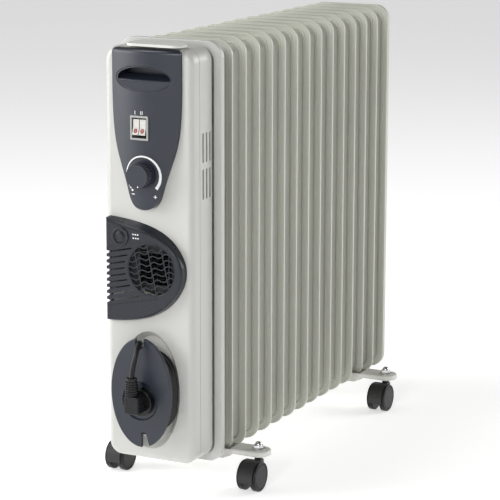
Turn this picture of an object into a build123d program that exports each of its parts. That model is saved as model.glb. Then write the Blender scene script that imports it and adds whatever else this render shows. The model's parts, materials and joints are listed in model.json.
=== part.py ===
from build123d import *
import os
from math import cos, pi, radians, sin, sqrt, tan

os.makedirs("parts", exist_ok=True)

# The frame: X across the heater, Y along it with the control end at -Y, Z up from the floor.
# The origin is on the floor, under the middle of the heater without its cord.

# ---------------------------------------------------------------- driving dimensions (mm)
FIN_COUNT = 14
FIN_PITCH = 40.2
FIN_WIDTH = 136.0
FIN_HEIGHT = 580.0
FIN_CORNER = 22.0
FIN_BOTTOM = 42.0
FIN_HALF_DEPTH = 12.0
SHEET = 0.6

KNOB_STAND = 32.0
FACE_TO_FIN = 111.2
FILLER_STAND = 6.0
BODY_LENGTH = KNOB_STAND + FACE_TO_FIN + (FIN_COUNT - 1) * FIN_PITCH + FIN_HALF_DEPTH + FILLER_STAND

FACE_Y = KNOB_STAND - BODY_LENGTH / 2
FIRST_FIN_Y = FACE_Y + FACE_TO_FIN
FIN_MID_Z = FIN_BOTTOM + FIN_HEIGHT / 2

# fin pressing
MARGIN = 11.0
HEM_WIDTH = 2.5
HEM_HALF_THICKNESS = 1.6
LAST_HEM_RETURN = 6.0
BEAD_INSET = 7.6
BEAD_WIDTH = 3.0
BEAD_RISE = 1.0
BEAD_TAPER = 22.0
HEADER_HEIGHT = 75.0
HEADER_WIDTH = FIN_WIDTH - 2 * MARGIN
HEADER_OFFSET = FIN_HEIGHT / 2 - MARGIN - HEADER_HEIGHT / 2
HEADER_CORNER = 14.0
CHANNEL_WIDTH = 28.0
CHANNEL_SPACING = (HEADER_WIDTH - CHANNEL_WIDTH) / 2
CHANNEL_HEIGHT = 470.0
CHANNEL_RISE = 9.5
HEADER_TAPER = 20.0
CHANNEL_TAPER = 22.0
COLLAR_RADIUS = 17.0
BORE_RADIUS = 13.5
LOWER_HEADER_Z = FIN_MID_Z - HEADER_OFFSET
UPPER_HEADER_Z = FIN_MID_Z + HEADER_OFFSET

# control housing
HOUSING_WIDTH = 133.0
HOUSING_BOTTOM = 56.0
HOUSING_TOP = 619.0
HOUSING_DEPTH = 54.0
HOUSING_CORNER = 18.0
HOUSING_WALL = 2.2
HOUSING_EDGE = 9.0
HOUSING_SEAM_OFFSET = 21.0
HOUSING_SEAM_WIDTH = 0.9
HOUSING_SEAM_DEPTH = 0.7
HOUSING_MID_Z = (HOUSING_BOTTOM + HOUSING_TOP) / 2
HOUSING_BACK_Y = FACE_Y + HOUSING_DEPTH

# mounting plate behind the housing
PLATE_WIDTH = 156.0
PLATE_BOTTOM = 46.0
PLATE_TOP = 625.0
PLATE_Y = HOUSING_BACK_Y + 6.0
PLATE_MARGIN = 10.0
PLATE_SHEET = 1.2
PLATE_DISH = 6.0
PLATE_RIM = 8.0
PLATE_MID_Z = (PLATE_BOTTOM + PLATE_TOP) / 2

# control panel: a shield, bowed across its width and falling back towards its tip
PANEL_HALF_WIDTH = 52.0
PANEL_TOP = 618.0
PANEL_TIP = 405.0
PANEL_SHOULDER_Z = 566.0
PANEL_WAIST = (44.3, 488.0)
PANEL_CHIN = (25.0, 433.0)
PANEL_CORNER = 6.0
PANEL_WALL = 2.5
PANEL_EDGE = 3.0
PANEL_CROWN = 14.0
PANEL_BOW = PANEL_CROWN - PANEL_EDGE
PANEL_BOW_RADIUS = (PANEL_HALF_WIDTH ** 2 + PANEL_BOW ** 2) / (2 * PANEL_BOW)
PANEL_FALL_Z = 480.0
PANEL_FALL = PANEL_FALL_Z - PANEL_TIP
PANEL_FALL_RADIUS = (PANEL_FALL ** 2 + PANEL_BOW ** 2) / (2 * PANEL_BOW)
GRIP_Z = 579.0
GRIP_X = -1.8
GRIP_HALF_WIDTH = 41.5
GRIP_HALF_HEIGHT = 17.2
GRIP_DEPTH = 30.0
GRIP_RIM_ROUND = 1.2

# switches and thermostat
SWITCH_X = -4.8
SWITCH_Z = 514.5
SWITCH_WIDTH = 27.0
SWITCH_HEIGHT = 32.4
SWITCH_OPENING_WIDTH = 22.0
SWITCH_OPENING_HEIGHT = 27.0
SWITCH_STAND = 15.5
ROCKER_WIDTH = 8.8
ROCKER_PITCH = 10.2
ROCKER_HALF_HEIGHT = 10.4
ROCKER_TILT = 10.0
ROCKER_PIVOT_Y = FACE_Y - 9.0
KNOB_Z = 452.5
KNOB_RADIUS = 17.0
KNOB_HEIGHT = 17.0
KNOB_BORE = 3.05
SHAFT_RADIUS = 3.0

# fan cover
COVER_STAND = 13.0
COVER_WALL = 2.5
COVER_EDGE = 3.0
COVER_LEFT = -59.5
GRILLE_X = 10.3
GRILLE_Z = 324.2
GRILLE_RADIUS = 36.4
PAD_RADIUS = 39.5
PAD_DEPTH = 1.0
PATTERN_TILT = 12.5
LOUVRE_COUNT = 9
LOUVRE_PITCH = 8.2
LOUVRE_HEIGHT = 1.9
NOTCH_HEIGHT = 4.8
NOTCH_DEPTH = 4.0
BAR_COUNT = 9
BAR_PITCH = 8.1
BAR_WIDTH = 1.5
BAR_WAVE = 2.1
BAR_WAVELENGTH = 20.5
RIB_SPACING = 20.5
BUTTON_X = -36.5
BUTTON_Z = 366.0
BUTTON_RADIUS = 9.0
BUTTON_RING = 12.8
BUTTON_RING_STAND = 2.0
BUTTON_TRAVEL = 3.0

# cord store
STORE_Z = 154.5
STORE_HALF_WIDTH = 46.0
STORE_HALF_HEIGHT = 82.0
STORE_FLOOR_INSET = 8.0
STORE_DEPTH = 9.0
DISC_Z = 156.8
DISC_HALF_WIDTH = 46.0
DISC_HALF_HEIGHT = 75.7
DISC_THICKNESS = 5.0
DISC_FRONT_Y = FACE_Y - 26.0
DISC_BACK_Y = DISC_FRONT_Y + DISC_THICKNESS
COIL_CENTRE_Z = 157.0
COIL_STRAIGHT = 32.0
CORD_DIAMETER = 7.0
COIL_OUTER_RADIUS = 44.0
COIL_INNER_RADIUS = 30.0
COIL_ROWS = 3
OUTER_TURNS = 3.0
INNER_TURNS = 1.6
COIL_BACK_Y = DISC_BACK_Y + COIL_ROWS * CORD_DIAMETER + 0.3
PLUG_Z = 145.5
PLUG_X = 1.8
PLUG_FLANGE_RADIUS = 18.6
COIL_EDGE = 3.0
GLAND_X = 31.5
GLAND_Z = 150.0
GLAND_RADIUS = 4.2
BOOT_X = -0.6
BOOT_Y = FACE_Y - 48.5
BOOT_TOP = 183.5
PEG_X = 1.5
PEG_Z = 168.0
PEG_RADIUS = 4.0
PEG_STAND = 6.0

# feet and casters
FOOT_FROM_FIN = 7.0
FRONT_FOOT_FIN = 1
REAR_FOOT_FIN = 12
FOOT_HALF_LENGTH = 122.0
FOOT_WIDTH = 34.0
FOOT_TOP = 54.0
FOOT_SKIRT = 46.5
FOOT_SHEET = 2.5
SADDLE_BOTTOM = 38.5
SADDLE_WALL_TOP = 52.5
SADDLE_HALF_LENGTH = 69.0
CASTER_X = 105.0
CASTER_TRAIL = 20.0
WHEEL_RADIUS = 21.0
WHEEL_WIDTH = 8.6
WHEEL_OFFSET = 10.2
HOOD_RADIUS = 22.4
HOOD_HALF_WIDTH = 10.8
STEM_RADIUS = 5.7
STEM_THREAD_RADIUS = 4.0
AXLE_RADIUS = 2.5
RUNNING_FIT = 0.05


def fin_y(number):
    """Middle plane of a fin, counted from the control end."""
    return FIRST_FIN_Y + (number - 1) * FIN_PITCH


def facing(y):
    """A plane at this Y that looks towards the control end, with X right and Z up."""
    return Plane.XZ.offset(-y)


def save(builder, name):
    """Label a finished sub-part and write its STEP file."""
    builder.part.label = name
    export_step(builder.part, "parts/" + name + ".step")


FRONT_FOOT_Y = fin_y(FRONT_FOOT_FIN) + FOOT_FROM_FIN
REAR_FOOT_Y = fin_y(REAR_FOOT_FIN) + FOOT_FROM_FIN


# ---------------------------------------------------------------- oil-filled core
def channel_shape(inset):
    """Both faces' raised headers and upright channels, shrunk by an inset for their inside."""
    with BuildPart() as shape:
        with BuildSketch(Plane.XZ):
            with Locations((0, LOWER_HEADER_Z), (0, UPPER_HEADER_Z)):
                RectangleRounded(HEADER_WIDTH - 2 * inset, HEADER_HEIGHT - 2 * inset, HEADER_CORNER - inset)
        extrude(amount=FIN_HALF_DEPTH - inset, taper=HEADER_TAPER)
        with BuildSketch(Plane.XZ):
            with Locations((0, FIN_MID_Z)):
                with GridLocations(CHANNEL_SPACING, 0, 3, 1):
                    Rectangle(CHANNEL_WIDTH - 2 * inset, CHANNEL_HEIGHT - 2 * inset)
        extrude(amount=CHANNEL_RISE - inset, taper=CHANNEL_TAPER)
        mirror(about=Plane.XZ)
    return shape.part


channels_outside = channel_shape(0)
channels_inside = channel_shape(SHEET)


def header_tubes(radius, headers, y_from, y_to):
    """Round tubes or bores along Y at the given header heights."""
    with BuildPart() as tubes:
        with BuildSketch(facing(y_to)):
            with Locations(*[(0, z) for z in headers]):
                Circle(radius)
        extrude(amount=y_to - y_from)
    return tubes.part


def fin(front_headers, rear_headers, turned_back):
    """One hollow pressed fin on the plane Y = 0, open at the headers that lead to its neighbours."""
    with BuildPart() as pressing:
        with BuildSketch(facing(SHEET)):
            with Locations((0, FIN_MID_Z)):
                RectangleRounded(FIN_WIDTH, FIN_HEIGHT, FIN_CORNER)
        extrude(amount=2 * SHEET)
        with BuildSketch(facing(turned_back)):
            with Locations((0, FIN_MID_Z)):
                RectangleRounded(FIN_WIDTH, FIN_HEIGHT, FIN_CORNER)
                RectangleRounded(FIN_WIDTH - 2 * HEM_WIDTH, FIN_HEIGHT - 2 * HEM_WIDTH,
                                 FIN_CORNER - HEM_WIDTH, mode=Mode.SUBTRACT)
        extrude(amount=turned_back + HEM_HALF_THICKNESS)
        with BuildSketch(facing(0)):
            with Locations((0, FIN_MID_Z)):
                RectangleRounded(FIN_WIDTH - 2 * BEAD_INSET, FIN_HEIGHT - 2 * BEAD_INSET, FIN_CORNER - BEAD_INSET)
                RectangleRounded(FIN_WIDTH - 2 * BEAD_INSET - 2 * BEAD_WIDTH,
                                 FIN_HEIGHT - 2 * BEAD_INSET - 2 * BEAD_WIDTH,
                                 FIN_CORNER - BEAD_INSET - BEAD_WIDTH, mode=Mode.SUBTRACT)
        extrude(amount=SHEET + BEAD_RISE, both=True, taper=BEAD_TAPER)
        add(channels_outside)
        add(channels_inside, mode=Mode.SUBTRACT)
        if front_headers:
            add(header_tubes(BORE_RADIUS, front_headers, -FIN_PITCH / 2, 0), mode=Mode.SUBTRACT)
        if rear_headers:
            add(header_tubes(BORE_RADIUS, rear_headers, 0, FIN_PITCH / 2), mode=Mode.SUBTRACT)
    return pressing.part


both_headers = [LOWER_HEADER_Z, UPPER_HEADER_Z]
first_pressing = fin([LOWER_HEADER_Z], both_headers, HEM_HALF_THICKNESS)
middle_pressing = fin(both_headers, both_headers, HEM_HALF_THICKNESS)
last_pressing = fin(both_headers, [], LAST_HEM_RETURN)

for number in range(1, FIN_COUNT + 1):
    pressing = middle_pressing
    if number == 1:
        pressing = first_pressing
    if number == FIN_COUNT:
        pressing = last_pressing
    with BuildPart() as one_fin:
        with Locations((0, fin_y(number), 0)):
            add(pressing)
        if number == FIN_COUNT:
            with BuildSketch(facing(fin_y(number) + FIN_HALF_DEPTH)):
                with Locations((0, UPPER_HEADER_Z)):
                    Circle(6.1)
            extrude(amount=4, mode=Mode.SUBTRACT)
    save(one_fin, f"fin_{number:02d}")

collar_start = FIN_HALF_DEPTH
collar_end = FIN_PITCH - FIN_HALF_DEPTH
with BuildPart() as header_collars:
    add(header_tubes(COLLAR_RADIUS, [LOWER_HEADER_Z], FIRST_FIN_Y - FIN_PITCH / 2, FIRST_FIN_Y - collar_start))
    for number in range(1, FIN_COUNT):
        add(header_tubes(COLLAR_RADIUS, both_headers, fin_y(number) + collar_start, fin_y(number) + collar_end))
    add(header_tubes(BORE_RADIUS, both_headers, FIRST_FIN_Y - FIN_PITCH, fin_y(FIN_COUNT)), mode=Mode.SUBTRACT)
save(header_collars, "header_collars")

OIL_CLEARANCE = 0.4
oil_pocket = channel_shape(SHEET + OIL_CLEARANCE)
with BuildPart() as oil_fill:
    for number in range(1, FIN_COUNT + 1):
        with Locations((0, fin_y(number), 0)):
            add(oil_pocket)
    add(header_tubes(BORE_RADIUS, [LOWER_HEADER_Z], FIRST_FIN_Y - FIN_PITCH / 2, fin_y(FIN_COUNT) + FIN_HALF_DEPTH),
        mode=Mode.SUBTRACT)
save(oil_fill, "oil_fill")

ELEMENT_RADIUS = 3.0
ELEMENT_HALF_GAP = 5.5
ELEMENT_FRONT_Y = FIRST_FIN_Y - FIN_PITCH / 2 - 32.0
ELEMENT_REAR_Y = fin_y(FIN_COUNT) - 15.0
with BuildPart() as heating_elements:
    for z in (LOWER_HEADER_Z - ELEMENT_HALF_GAP, LOWER_HEADER_Z + ELEMENT_HALF_GAP):
        bend_y = ELEMENT_REAR_Y - ELEMENT_HALF_GAP
        with BuildLine() as hairpin:
            Line((-ELEMENT_HALF_GAP, ELEMENT_FRONT_Y, z), (-ELEMENT_HALF_GAP, bend_y, z))
            ThreePointArc((-ELEMENT_HALF_GAP, bend_y, z), (0, ELEMENT_REAR_Y, z), (ELEMENT_HALF_GAP, bend_y, z))
            Line((ELEMENT_HALF_GAP, bend_y, z), (ELEMENT_HALF_GAP, ELEMENT_FRONT_Y, z))
        with BuildSketch(Plane(origin=(-ELEMENT_HALF_GAP, ELEMENT_FRONT_Y, z), z_dir=(0, 1, 0))):
            Circle(ELEMENT_RADIUS)
        sweep(path=hairpin.line)
save(heating_elements, "heating_elements")

FLANGE_RADIUS = 24.0
FLANGE_THICKNESS = 6.0
FLANGE_HEX_RADIUS = 19.0
flange_back_y = FIRST_FIN_Y - FIN_PITCH / 2
with BuildPart() as element_flange:
    with BuildSketch(facing(flange_back_y)):
        with Locations((0, LOWER_HEADER_Z)):
            Circle(FLANGE_RADIUS)
    extrude(amount=FLANGE_THICKNESS)
    with BuildSketch(facing(flange_back_y - FLANGE_THICKNESS)):
        with Locations((0, LOWER_HEADER_Z)):
            RegularPolygon(FLANGE_HEX_RADIUS, 6)
    extrude(amount=8)
    with BuildSketch(facing(flange_back_y)):
        with Locations((0, LOWER_HEADER_Z)):
            with GridLocations(2 * ELEMENT_HALF_GAP, 2 * ELEMENT_HALF_GAP, 2, 2):
                Circle(ELEMENT_RADIUS + RUNNING_FIT)
    extrude(amount=20, mode=Mode.SUBTRACT)
save(element_flange, "element_flange")

with BuildPart() as filler_plug:
    with BuildSketch(facing(fin_y(FIN_COUNT) + FIN_HALF_DEPTH)):
        with Locations((0, UPPER_HEADER_Z)):
            Circle(6.0)
    extrude(amount=SHEET + 0.3)
    with BuildSketch(facing(fin_y(FIN_COUNT) + FIN_HALF_DEPTH)):
        with Locations((0, UPPER_HEADER_Z)):
            RegularPolygon(9.0, 6)
    extrude(amount=-FILLER_STAND)
    chamfer(filler_plug.edges().group_by(Axis.Y)[-1], 0.8)
save(filler_plug, "filler_plug")


# ---------------------------------------------------------------- mounting plate and housing
BOSS_X = 50.0
BOSS_HEIGHTS = (84.0, 250.0, 400.0, 590.0)
BOSS_RADIUS = 5.0
SCREW_RADIUS = 1.7
PLATE_FIELD_Y = PLATE_Y + PLATE_DISH
STANDOFF_RADIUS = 8.0
STANDOFF_HEIGHTS = (LOWER_HEADER_Z + 25, UPPER_HEADER_Z)
STANDOFF_X = 40.0
with BuildPart() as mounting_plate:
    with BuildSketch(facing(PLATE_Y + PLATE_RIM)):
        with Locations((0, PLATE_MID_Z)):
            RectangleRounded(PLATE_WIDTH, PLATE_TOP - PLATE_BOTTOM, FIN_CORNER)
    extrude(amount=PLATE_RIM)
    fillet(mounting_plate.edges().group_by(Axis.Y)[0], 1.5)
    with BuildSketch(facing(PLATE_Y + PLATE_RIM)):
        with Locations((0, PLATE_MID_Z)):
            RectangleRounded(PLATE_WIDTH - 2 * PLATE_SHEET, PLATE_TOP - PLATE_BOTTOM - 2 * PLATE_SHEET,
                             FIN_CORNER - PLATE_SHEET)
    extrude(amount=PLATE_RIM - PLATE_SHEET, mode=Mode.SUBTRACT)
    with BuildSketch(facing(PLATE_FIELD_Y + PLATE_SHEET)):
        with Locations((0, PLATE_MID_Z)):
            RectangleRounded(PLATE_WIDTH - 2 * PLATE_MARGIN, PLATE_TOP - PLATE_BOTTOM - 2 * PLATE_MARGIN,
                             FIN_CORNER - PLATE_MARGIN / 2)
    extrude(amount=PLATE_DISH)
    with BuildSketch(facing(PLATE_FIELD_Y)):
        with Locations((0, PLATE_MID_Z)):
            RectangleRounded(PLATE_WIDTH - 2 * PLATE_MARGIN - 2 * PLATE_SHEET,
                             PLATE_TOP - PLATE_BOTTOM - 2 * PLATE_MARGIN - 2 * PLATE_SHEET,
                             FIN_CORNER - PLATE_MARGIN / 2 - PLATE_SHEET)
    extrude(amount=2 * PLATE_DISH, mode=Mode.SUBTRACT)
    with BuildSketch(facing(FIRST_FIN_Y - FIN_HALF_DEPTH)):
        with Locations(*[(x, z) for x in (-STANDOFF_X, STANDOFF_X) for z in STANDOFF_HEIGHTS]):
            Circle(STANDOFF_RADIUS)
    extrude(amount=FIRST_FIN_Y - FIN_HALF_DEPTH - PLATE_FIELD_Y - PLATE_SHEET)
    with BuildSketch(facing(PLATE_FIELD_Y + 2 * PLATE_SHEET)):
        with Locations((0, LOWER_HEADER_Z)):
            Circle(FLANGE_RADIUS + 2)
        with Locations(*[(x, z) for x in (-BOSS_X, BOSS_X) for z in BOSS_HEIGHTS]):
            Circle(SCREW_RADIUS + 0.3)
    extrude(amount=3 * PLATE_SHEET, mode=Mode.SUBTRACT)
save(mounting_plate, "mounting_plate")

VENT_Y_OFFSETS = (30.0, 39.5, 49.0)
VENT_WIDTH = 4.4
VENT_GROUPS = ((487.0, 40.0), (438.0, 41.0))


def housing_block(inset):
    """The housing's outer block, or with an inset the hollow inside it."""
    with BuildPart() as block:
        with BuildSketch(facing(HOUSING_BACK_Y)):
            with Locations((0, HOUSING_MID_Z)):
                RectangleRounded(HOUSING_WIDTH - 2 * inset, HOUSING_TOP - HOUSING_BOTTOM - 2 * inset,
                                 HOUSING_CORNER - inset)
        extrude(amount=HOUSING_DEPTH - inset)
        fillet(block.edges().group_by(Axis.Y)[0], HOUSING_EDGE - inset)
    return block.part


housing_outside = housing_block(0)
housing_inside = housing_block(HOUSING_WALL)

with BuildPart() as control_housing:
    add(housing_outside)
    add(housing_inside, mode=Mode.SUBTRACT)
    with BuildSketch(facing(FACE_Y + STORE_DEPTH + HOUSING_WALL)):
        with Locations((0, STORE_Z)):
            Ellipse(STORE_HALF_WIDTH + HOUSING_WALL, STORE_HALF_HEIGHT + HOUSING_WALL)
    extrude(amount=STORE_DEPTH + HOUSING_WALL / 2)
    with BuildSketch(facing(FACE_Y + STORE_DEPTH)):
        with Locations((0, STORE_Z)):
            Ellipse(STORE_HALF_WIDTH - STORE_FLOOR_INSET, STORE_HALF_HEIGHT - STORE_FLOOR_INSET)
    with BuildSketch(facing(FACE_Y)):
        with Locations((0, STORE_Z)):
            Ellipse(STORE_HALF_WIDTH, STORE_HALF_HEIGHT)
    loft(mode=Mode.SUBTRACT)
    with BuildSketch(facing(PLATE_FIELD_Y)):
        with Locations(*[(x, z) for x in (-BOSS_X, BOSS_X) for z in BOSS_HEIGHTS]):
            Circle(BOSS_RADIUS)
    extrude(amount=PLATE_FIELD_Y - FACE_Y - HOUSING_WALL)
    with BuildSketch(facing(PLATE_FIELD_Y)):
        with Locations(*[(x, z) for x in (-BOSS_X, BOSS_X) for z in BOSS_HEIGHTS]):
            Circle(SCREW_RADIUS)
    extrude(amount=14, mode=Mode.SUBTRACT)
    with BuildSketch(facing(FACE_Y + 3 * HOUSING_WALL)):
        with Locations((GRIP_X, GRIP_Z)):
            Ellipse(GRIP_HALF_WIDTH + 5, GRIP_HALF_HEIGHT + 6)
        with Locations((SWITCH_X, SWITCH_Z)):
            Rectangle(SWITCH_WIDTH + 6, SWITCH_HEIGHT + 6)
        with Locations((0, KNOB_Z)):
            Circle(20)
        with Locations((GRILLE_X, GRILLE_Z)):
            Circle(GRILLE_RADIUS)
        with Locations((BUTTON_X, BUTTON_Z)):
            Circle(6)
    extrude(amount=4 * HOUSING_WALL, mode=Mode.SUBTRACT)
    with BuildSketch(facing(FACE_Y + STORE_DEPTH + 2 * HOUSING_WALL)):
        with Locations((GLAND_X, GLAND_Z)):
            Circle(GLAND_RADIUS + 0.1)
    extrude(amount=4 * HOUSING_WALL, mode=Mode.SUBTRACT)
    with BuildSketch(Plane.YZ.offset(-HOUSING_WIDTH / 2 - 1)):
        for y_offset in VENT_Y_OFFSETS:
            for vent_z, vent_length in VENT_GROUPS:
                with Locations((FACE_Y + y_offset, vent_z)):
                    SlotOverall(vent_length, VENT_WIDTH, rotation=90)
    extrude(amount=HOUSING_WIDTH + 2, mode=Mode.SUBTRACT)
    with BuildSketch(facing(FACE_Y + HOUSING_SEAM_OFFSET)):
        with Locations((0, HOUSING_MID_Z)):
            RectangleRounded(HOUSING_WIDTH + 2, HOUSING_TOP - HOUSING_BOTTOM + 2, HOUSING_CORNER + 1)
            RectangleRounded(HOUSING_WIDTH - 2 * HOUSING_SEAM_DEPTH,
                             HOUSING_TOP - HOUSING_BOTTOM - 2 * HOUSING_SEAM_DEPTH,
                             HOUSING_CORNER - HOUSING_SEAM_DEPTH, mode=Mode.SUBTRACT)
    extrude(amount=HOUSING_SEAM_WIDTH, mode=Mode.SUBTRACT)
    with BuildSketch(Plane.XY.offset(HOUSING_BOTTOM - 1)):
        with Locations((0, FACE_Y + HOUSING_DEPTH / 2)):
            with GridLocations(10, 0, 9, 1):
                SlotOverall(30, VENT_WIDTH, rotation=90)
    extrude(amount=HOUSING_WALL + 2, mode=Mode.SUBTRACT)
save(control_housing, "control_housing")

with BuildPart() as housing_screws:
    with BuildSketch(facing(PLATE_FIELD_Y + PLATE_SHEET)):
        with Locations(*[(x, z) for x in (-BOSS_X, BOSS_X) for z in BOSS_HEIGHTS]):
            Circle(SCREW_RADIUS - 0.05)
    extrude(amount=PLATE_SHEET + 12)
    with BuildSketch(facing(PLATE_FIELD_Y + PLATE_SHEET)):
        with Locations(*[(x, z) for x in (-BOSS_X, BOSS_X) for z in BOSS_HEIGHTS]):
            Circle(3.4)
    extrude(amount=-2.2)
save(housing_screws, "housing_screws")

HANDLE_LENGTH = 84.0
HANDLE_DEPTH = 33.0
HANDLE_THICKNESS = 3.6
HANDLE_X = 10.0
HANDLE_Y = FACE_Y + 8.0
HANDLE_GAP = 2.4
with BuildPart() as top_handle:
    with BuildSketch(Plane.XY.offset(HOUSING_TOP + HANDLE_GAP)):
        with Locations((HANDLE_X, HANDLE_Y)):
            RectangleRounded(HANDLE_LENGTH, HANDLE_DEPTH, HANDLE_DEPTH / 2 - 3)
    extrude(amount=HANDLE_THICKNESS)
    fillet(top_handle.edges().group_by(Axis.Z)[-1], 1.8)
    with BuildSketch(Plane.XY.offset(HOUSING_TOP)):
        with Locations((HANDLE_X, HANDLE_Y + 8)):
            RectangleRounded(HANDLE_LENGTH - 24, 10, 4)
    extrude(amount=HANDLE_GAP)
save(top_handle, "top_handle")


# ---------------------------------------------------------------- control panel and its controls
def shield_block(inset):
    """The bowed shield of the control panel, or with an inset the hollow behind its wall."""
    half_width = PANEL_HALF_WIDTH - inset
    tip = PANEL_TIP + inset
    top = PANEL_TOP - inset
    axis_y = FACE_Y - PANEL_CROWN + PANEL_BOW_RADIUS
    fall_axis_y = FACE_Y - PANEL_CROWN + PANEL_FALL_RADIUS
    waist_x, waist_z = PANEL_WAIST[0] - inset, PANEL_WAIST[1] + 0.2 * inset
    chin_x, chin_z = PANEL_CHIN[0] - 0.9 * inset, PANEL_CHIN[1] + 0.45 * inset
    with BuildPart() as block:
        with BuildSketch(facing(FACE_Y)):
            with BuildLine():
                right_side = Spline((half_width, PANEL_SHOULDER_Z), (waist_x, waist_z), (chin_x, chin_z), (0, tip),
                                    tangents=((-0.02, -1), (-1, 0)))
                left_side = Spline((-half_width, PANEL_SHOULDER_Z), (-waist_x, waist_z), (-chin_x, chin_z), (0, tip),
                                   tangents=((0.02, -1), (1, 0)))
                Polyline(right_side @ 0, (half_width, top), (-half_width, top), left_side @ 0)
            make_face()
        extrude(amount=PANEL_CROWN + 1 - inset)
        with BuildSketch(Plane.XY.offset(tip - 2)):
            with Locations((0, axis_y)):
                Circle(PANEL_BOW_RADIUS - inset)
        extrude(amount=top - tip + 4, mode=Mode.INTERSECT)
        with BuildSketch(Plane.YZ.offset(-half_width - 1)):
            with BuildLine():
                fall = ThreePointArc(
                    (FACE_Y - PANEL_EDGE + inset, tip),
                    (fall_axis_y - (PANEL_FALL_RADIUS - inset) * cos(0.5 * PANEL_FALL / PANEL_FALL_RADIUS),
                     PANEL_FALL_Z - (PANEL_FALL_RADIUS - inset) * sin(0.5 * PANEL_FALL / PANEL_FALL_RADIUS)),
                    (FACE_Y - PANEL_CROWN + inset, PANEL_FALL_Z))
                Polyline(fall @ 1, (FACE_Y - PANEL_CROWN + inset, top + 2), (FACE_Y + 2, top + 2),
                         (FACE_Y + 2, tip - 2), (FACE_Y - PANEL_EDGE + inset, tip - 2), fall @ 0)
            make_face()
        extrude(amount=2 * half_width + 2, mode=Mode.INTERSECT)
    return block.part


shield_outside = shield_block(0)
shield_inside = shield_block(PANEL_WALL)

with BuildPart() as control_panel:
    add(shield_outside)
    fillet(control_panel.edges().group_by(Axis.Z)[-1].sort_by(Axis.Y)[0], PANEL_CORNER)
    with BuildSketch(facing(FACE_Y)):
        with Locations((0, PANEL_TIP)):
            RectangleRounded(2 * PANEL_HALF_WIDTH, 2 * (PANEL_TOP - PANEL_TIP), PANEL_CORNER)
    extrude(amount=2 * PANEL_CROWN, mode=Mode.INTERSECT)
    with BuildSketch(facing(FACE_Y + HOUSING_EDGE)):
        with Locations((0, PANEL_TOP - PANEL_CORNER)):
            Rectangle(2 * (PANEL_HALF_WIDTH - PANEL_CORNER), 2 * PANEL_CORNER)
    extrude(amount=HOUSING_EDGE)
    add(housing_outside, mode=Mode.SUBTRACT)
    add(shield_inside, mode=Mode.SUBTRACT)
    with BuildSketch(facing(FACE_Y)):
        with Locations((GRIP_X, GRIP_Z)):
            Ellipse(GRIP_HALF_WIDTH, GRIP_HALF_HEIGHT)
        with Locations((SWITCH_X, SWITCH_Z)):
            Rectangle(SWITCH_WIDTH - 3, SWITCH_HEIGHT - 3)
        with Locations((0, KNOB_Z)):
            Circle(5)
    extrude(amount=2 * PANEL_CROWN, mode=Mode.SUBTRACT)
    grip_rims = control_panel.edges().filter_by_position(Axis.Z, GRIP_Z - GRIP_HALF_HEIGHT - 0.1,
                                                         GRIP_Z + GRIP_HALF_HEIGHT + 0.1)
    fillet(grip_rims.sort_by(SortBy.LENGTH)[-1], GRIP_RIM_ROUND)
save(control_panel, "control_panel")

POCKET_WALL = 1.6
POCKET_BROW_Z = GRIP_Z - 2.0
POCKET_BROW_Y = FACE_Y - 6.0
POCKET_BROW_ROUND = 6.0
POCKET_LEDGE_Z = GRIP_Z + 4.0
POCKET_LEDGE_Y = FACE_Y + 8.0
POCKET_BACK_Y = FACE_Y - PANEL_CROWN + GRIP_DEPTH
with BuildPart() as grip_pocket:
    with BuildSketch(facing(POCKET_BACK_Y + POCKET_WALL)):
        with Locations((GRIP_X, GRIP_Z)):
            Ellipse(GRIP_HALF_WIDTH - 0.2, GRIP_HALF_HEIGHT - 0.2)
    extrude(amount=POCKET_BACK_Y + POCKET_WALL - FACE_Y + PANEL_CROWN)
    with BuildSketch(Plane.XY.offset(GRIP_Z - GRIP_HALF_HEIGHT - 2)):
        with Locations((0, FACE_Y - PANEL_CROWN + PANEL_BOW_RADIUS)):
            Circle(PANEL_BOW_RADIUS - 0.6)
    extrude(amount=2 * GRIP_HALF_HEIGHT + 4, mode=Mode.INTERSECT)
    with BuildSketch(facing(POCKET_BACK_Y)):
        with Locations((GRIP_X, GRIP_Z)):
            Ellipse(GRIP_HALF_WIDTH - POCKET_WALL, GRIP_HALF_HEIGHT - POCKET_WALL)
    extrude(amount=2 * GRIP_DEPTH, mode=Mode.SUBTRACT)
    with BuildSketch(Plane.YZ.offset(GRIP_X - GRIP_HALF_WIDTH)) as scoop:
        with BuildLine():
            Polyline((FACE_Y - PANEL_CROWN + 2, GRIP_Z - GRIP_HALF_HEIGHT), (POCKET_BROW_Y, POCKET_BROW_Z),
                     (POCKET_LEDGE_Y, POCKET_LEDGE_Z), (POCKET_BACK_Y + 0.5, POCKET_LEDGE_Z),
                     (POCKET_BACK_Y + 0.5, GRIP_Z - GRIP_HALF_HEIGHT), close=True)
        make_face()
        fillet(scoop.vertices().sort_by(Axis.Y)[-3], POCKET_BROW_ROUND)
    extrude(amount=2 * GRIP_HALF_WIDTH)
    with BuildSketch(facing(POCKET_BACK_Y + POCKET_WALL)):
        with Locations((GRIP_X, GRIP_Z)):
            Ellipse(GRIP_HALF_WIDTH - 0.2, GRIP_HALF_HEIGHT - 0.2)
    extrude(amount=2 * GRIP_DEPTH, mode=Mode.INTERSECT)
save(grip_pocket, "grip_pocket")

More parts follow.
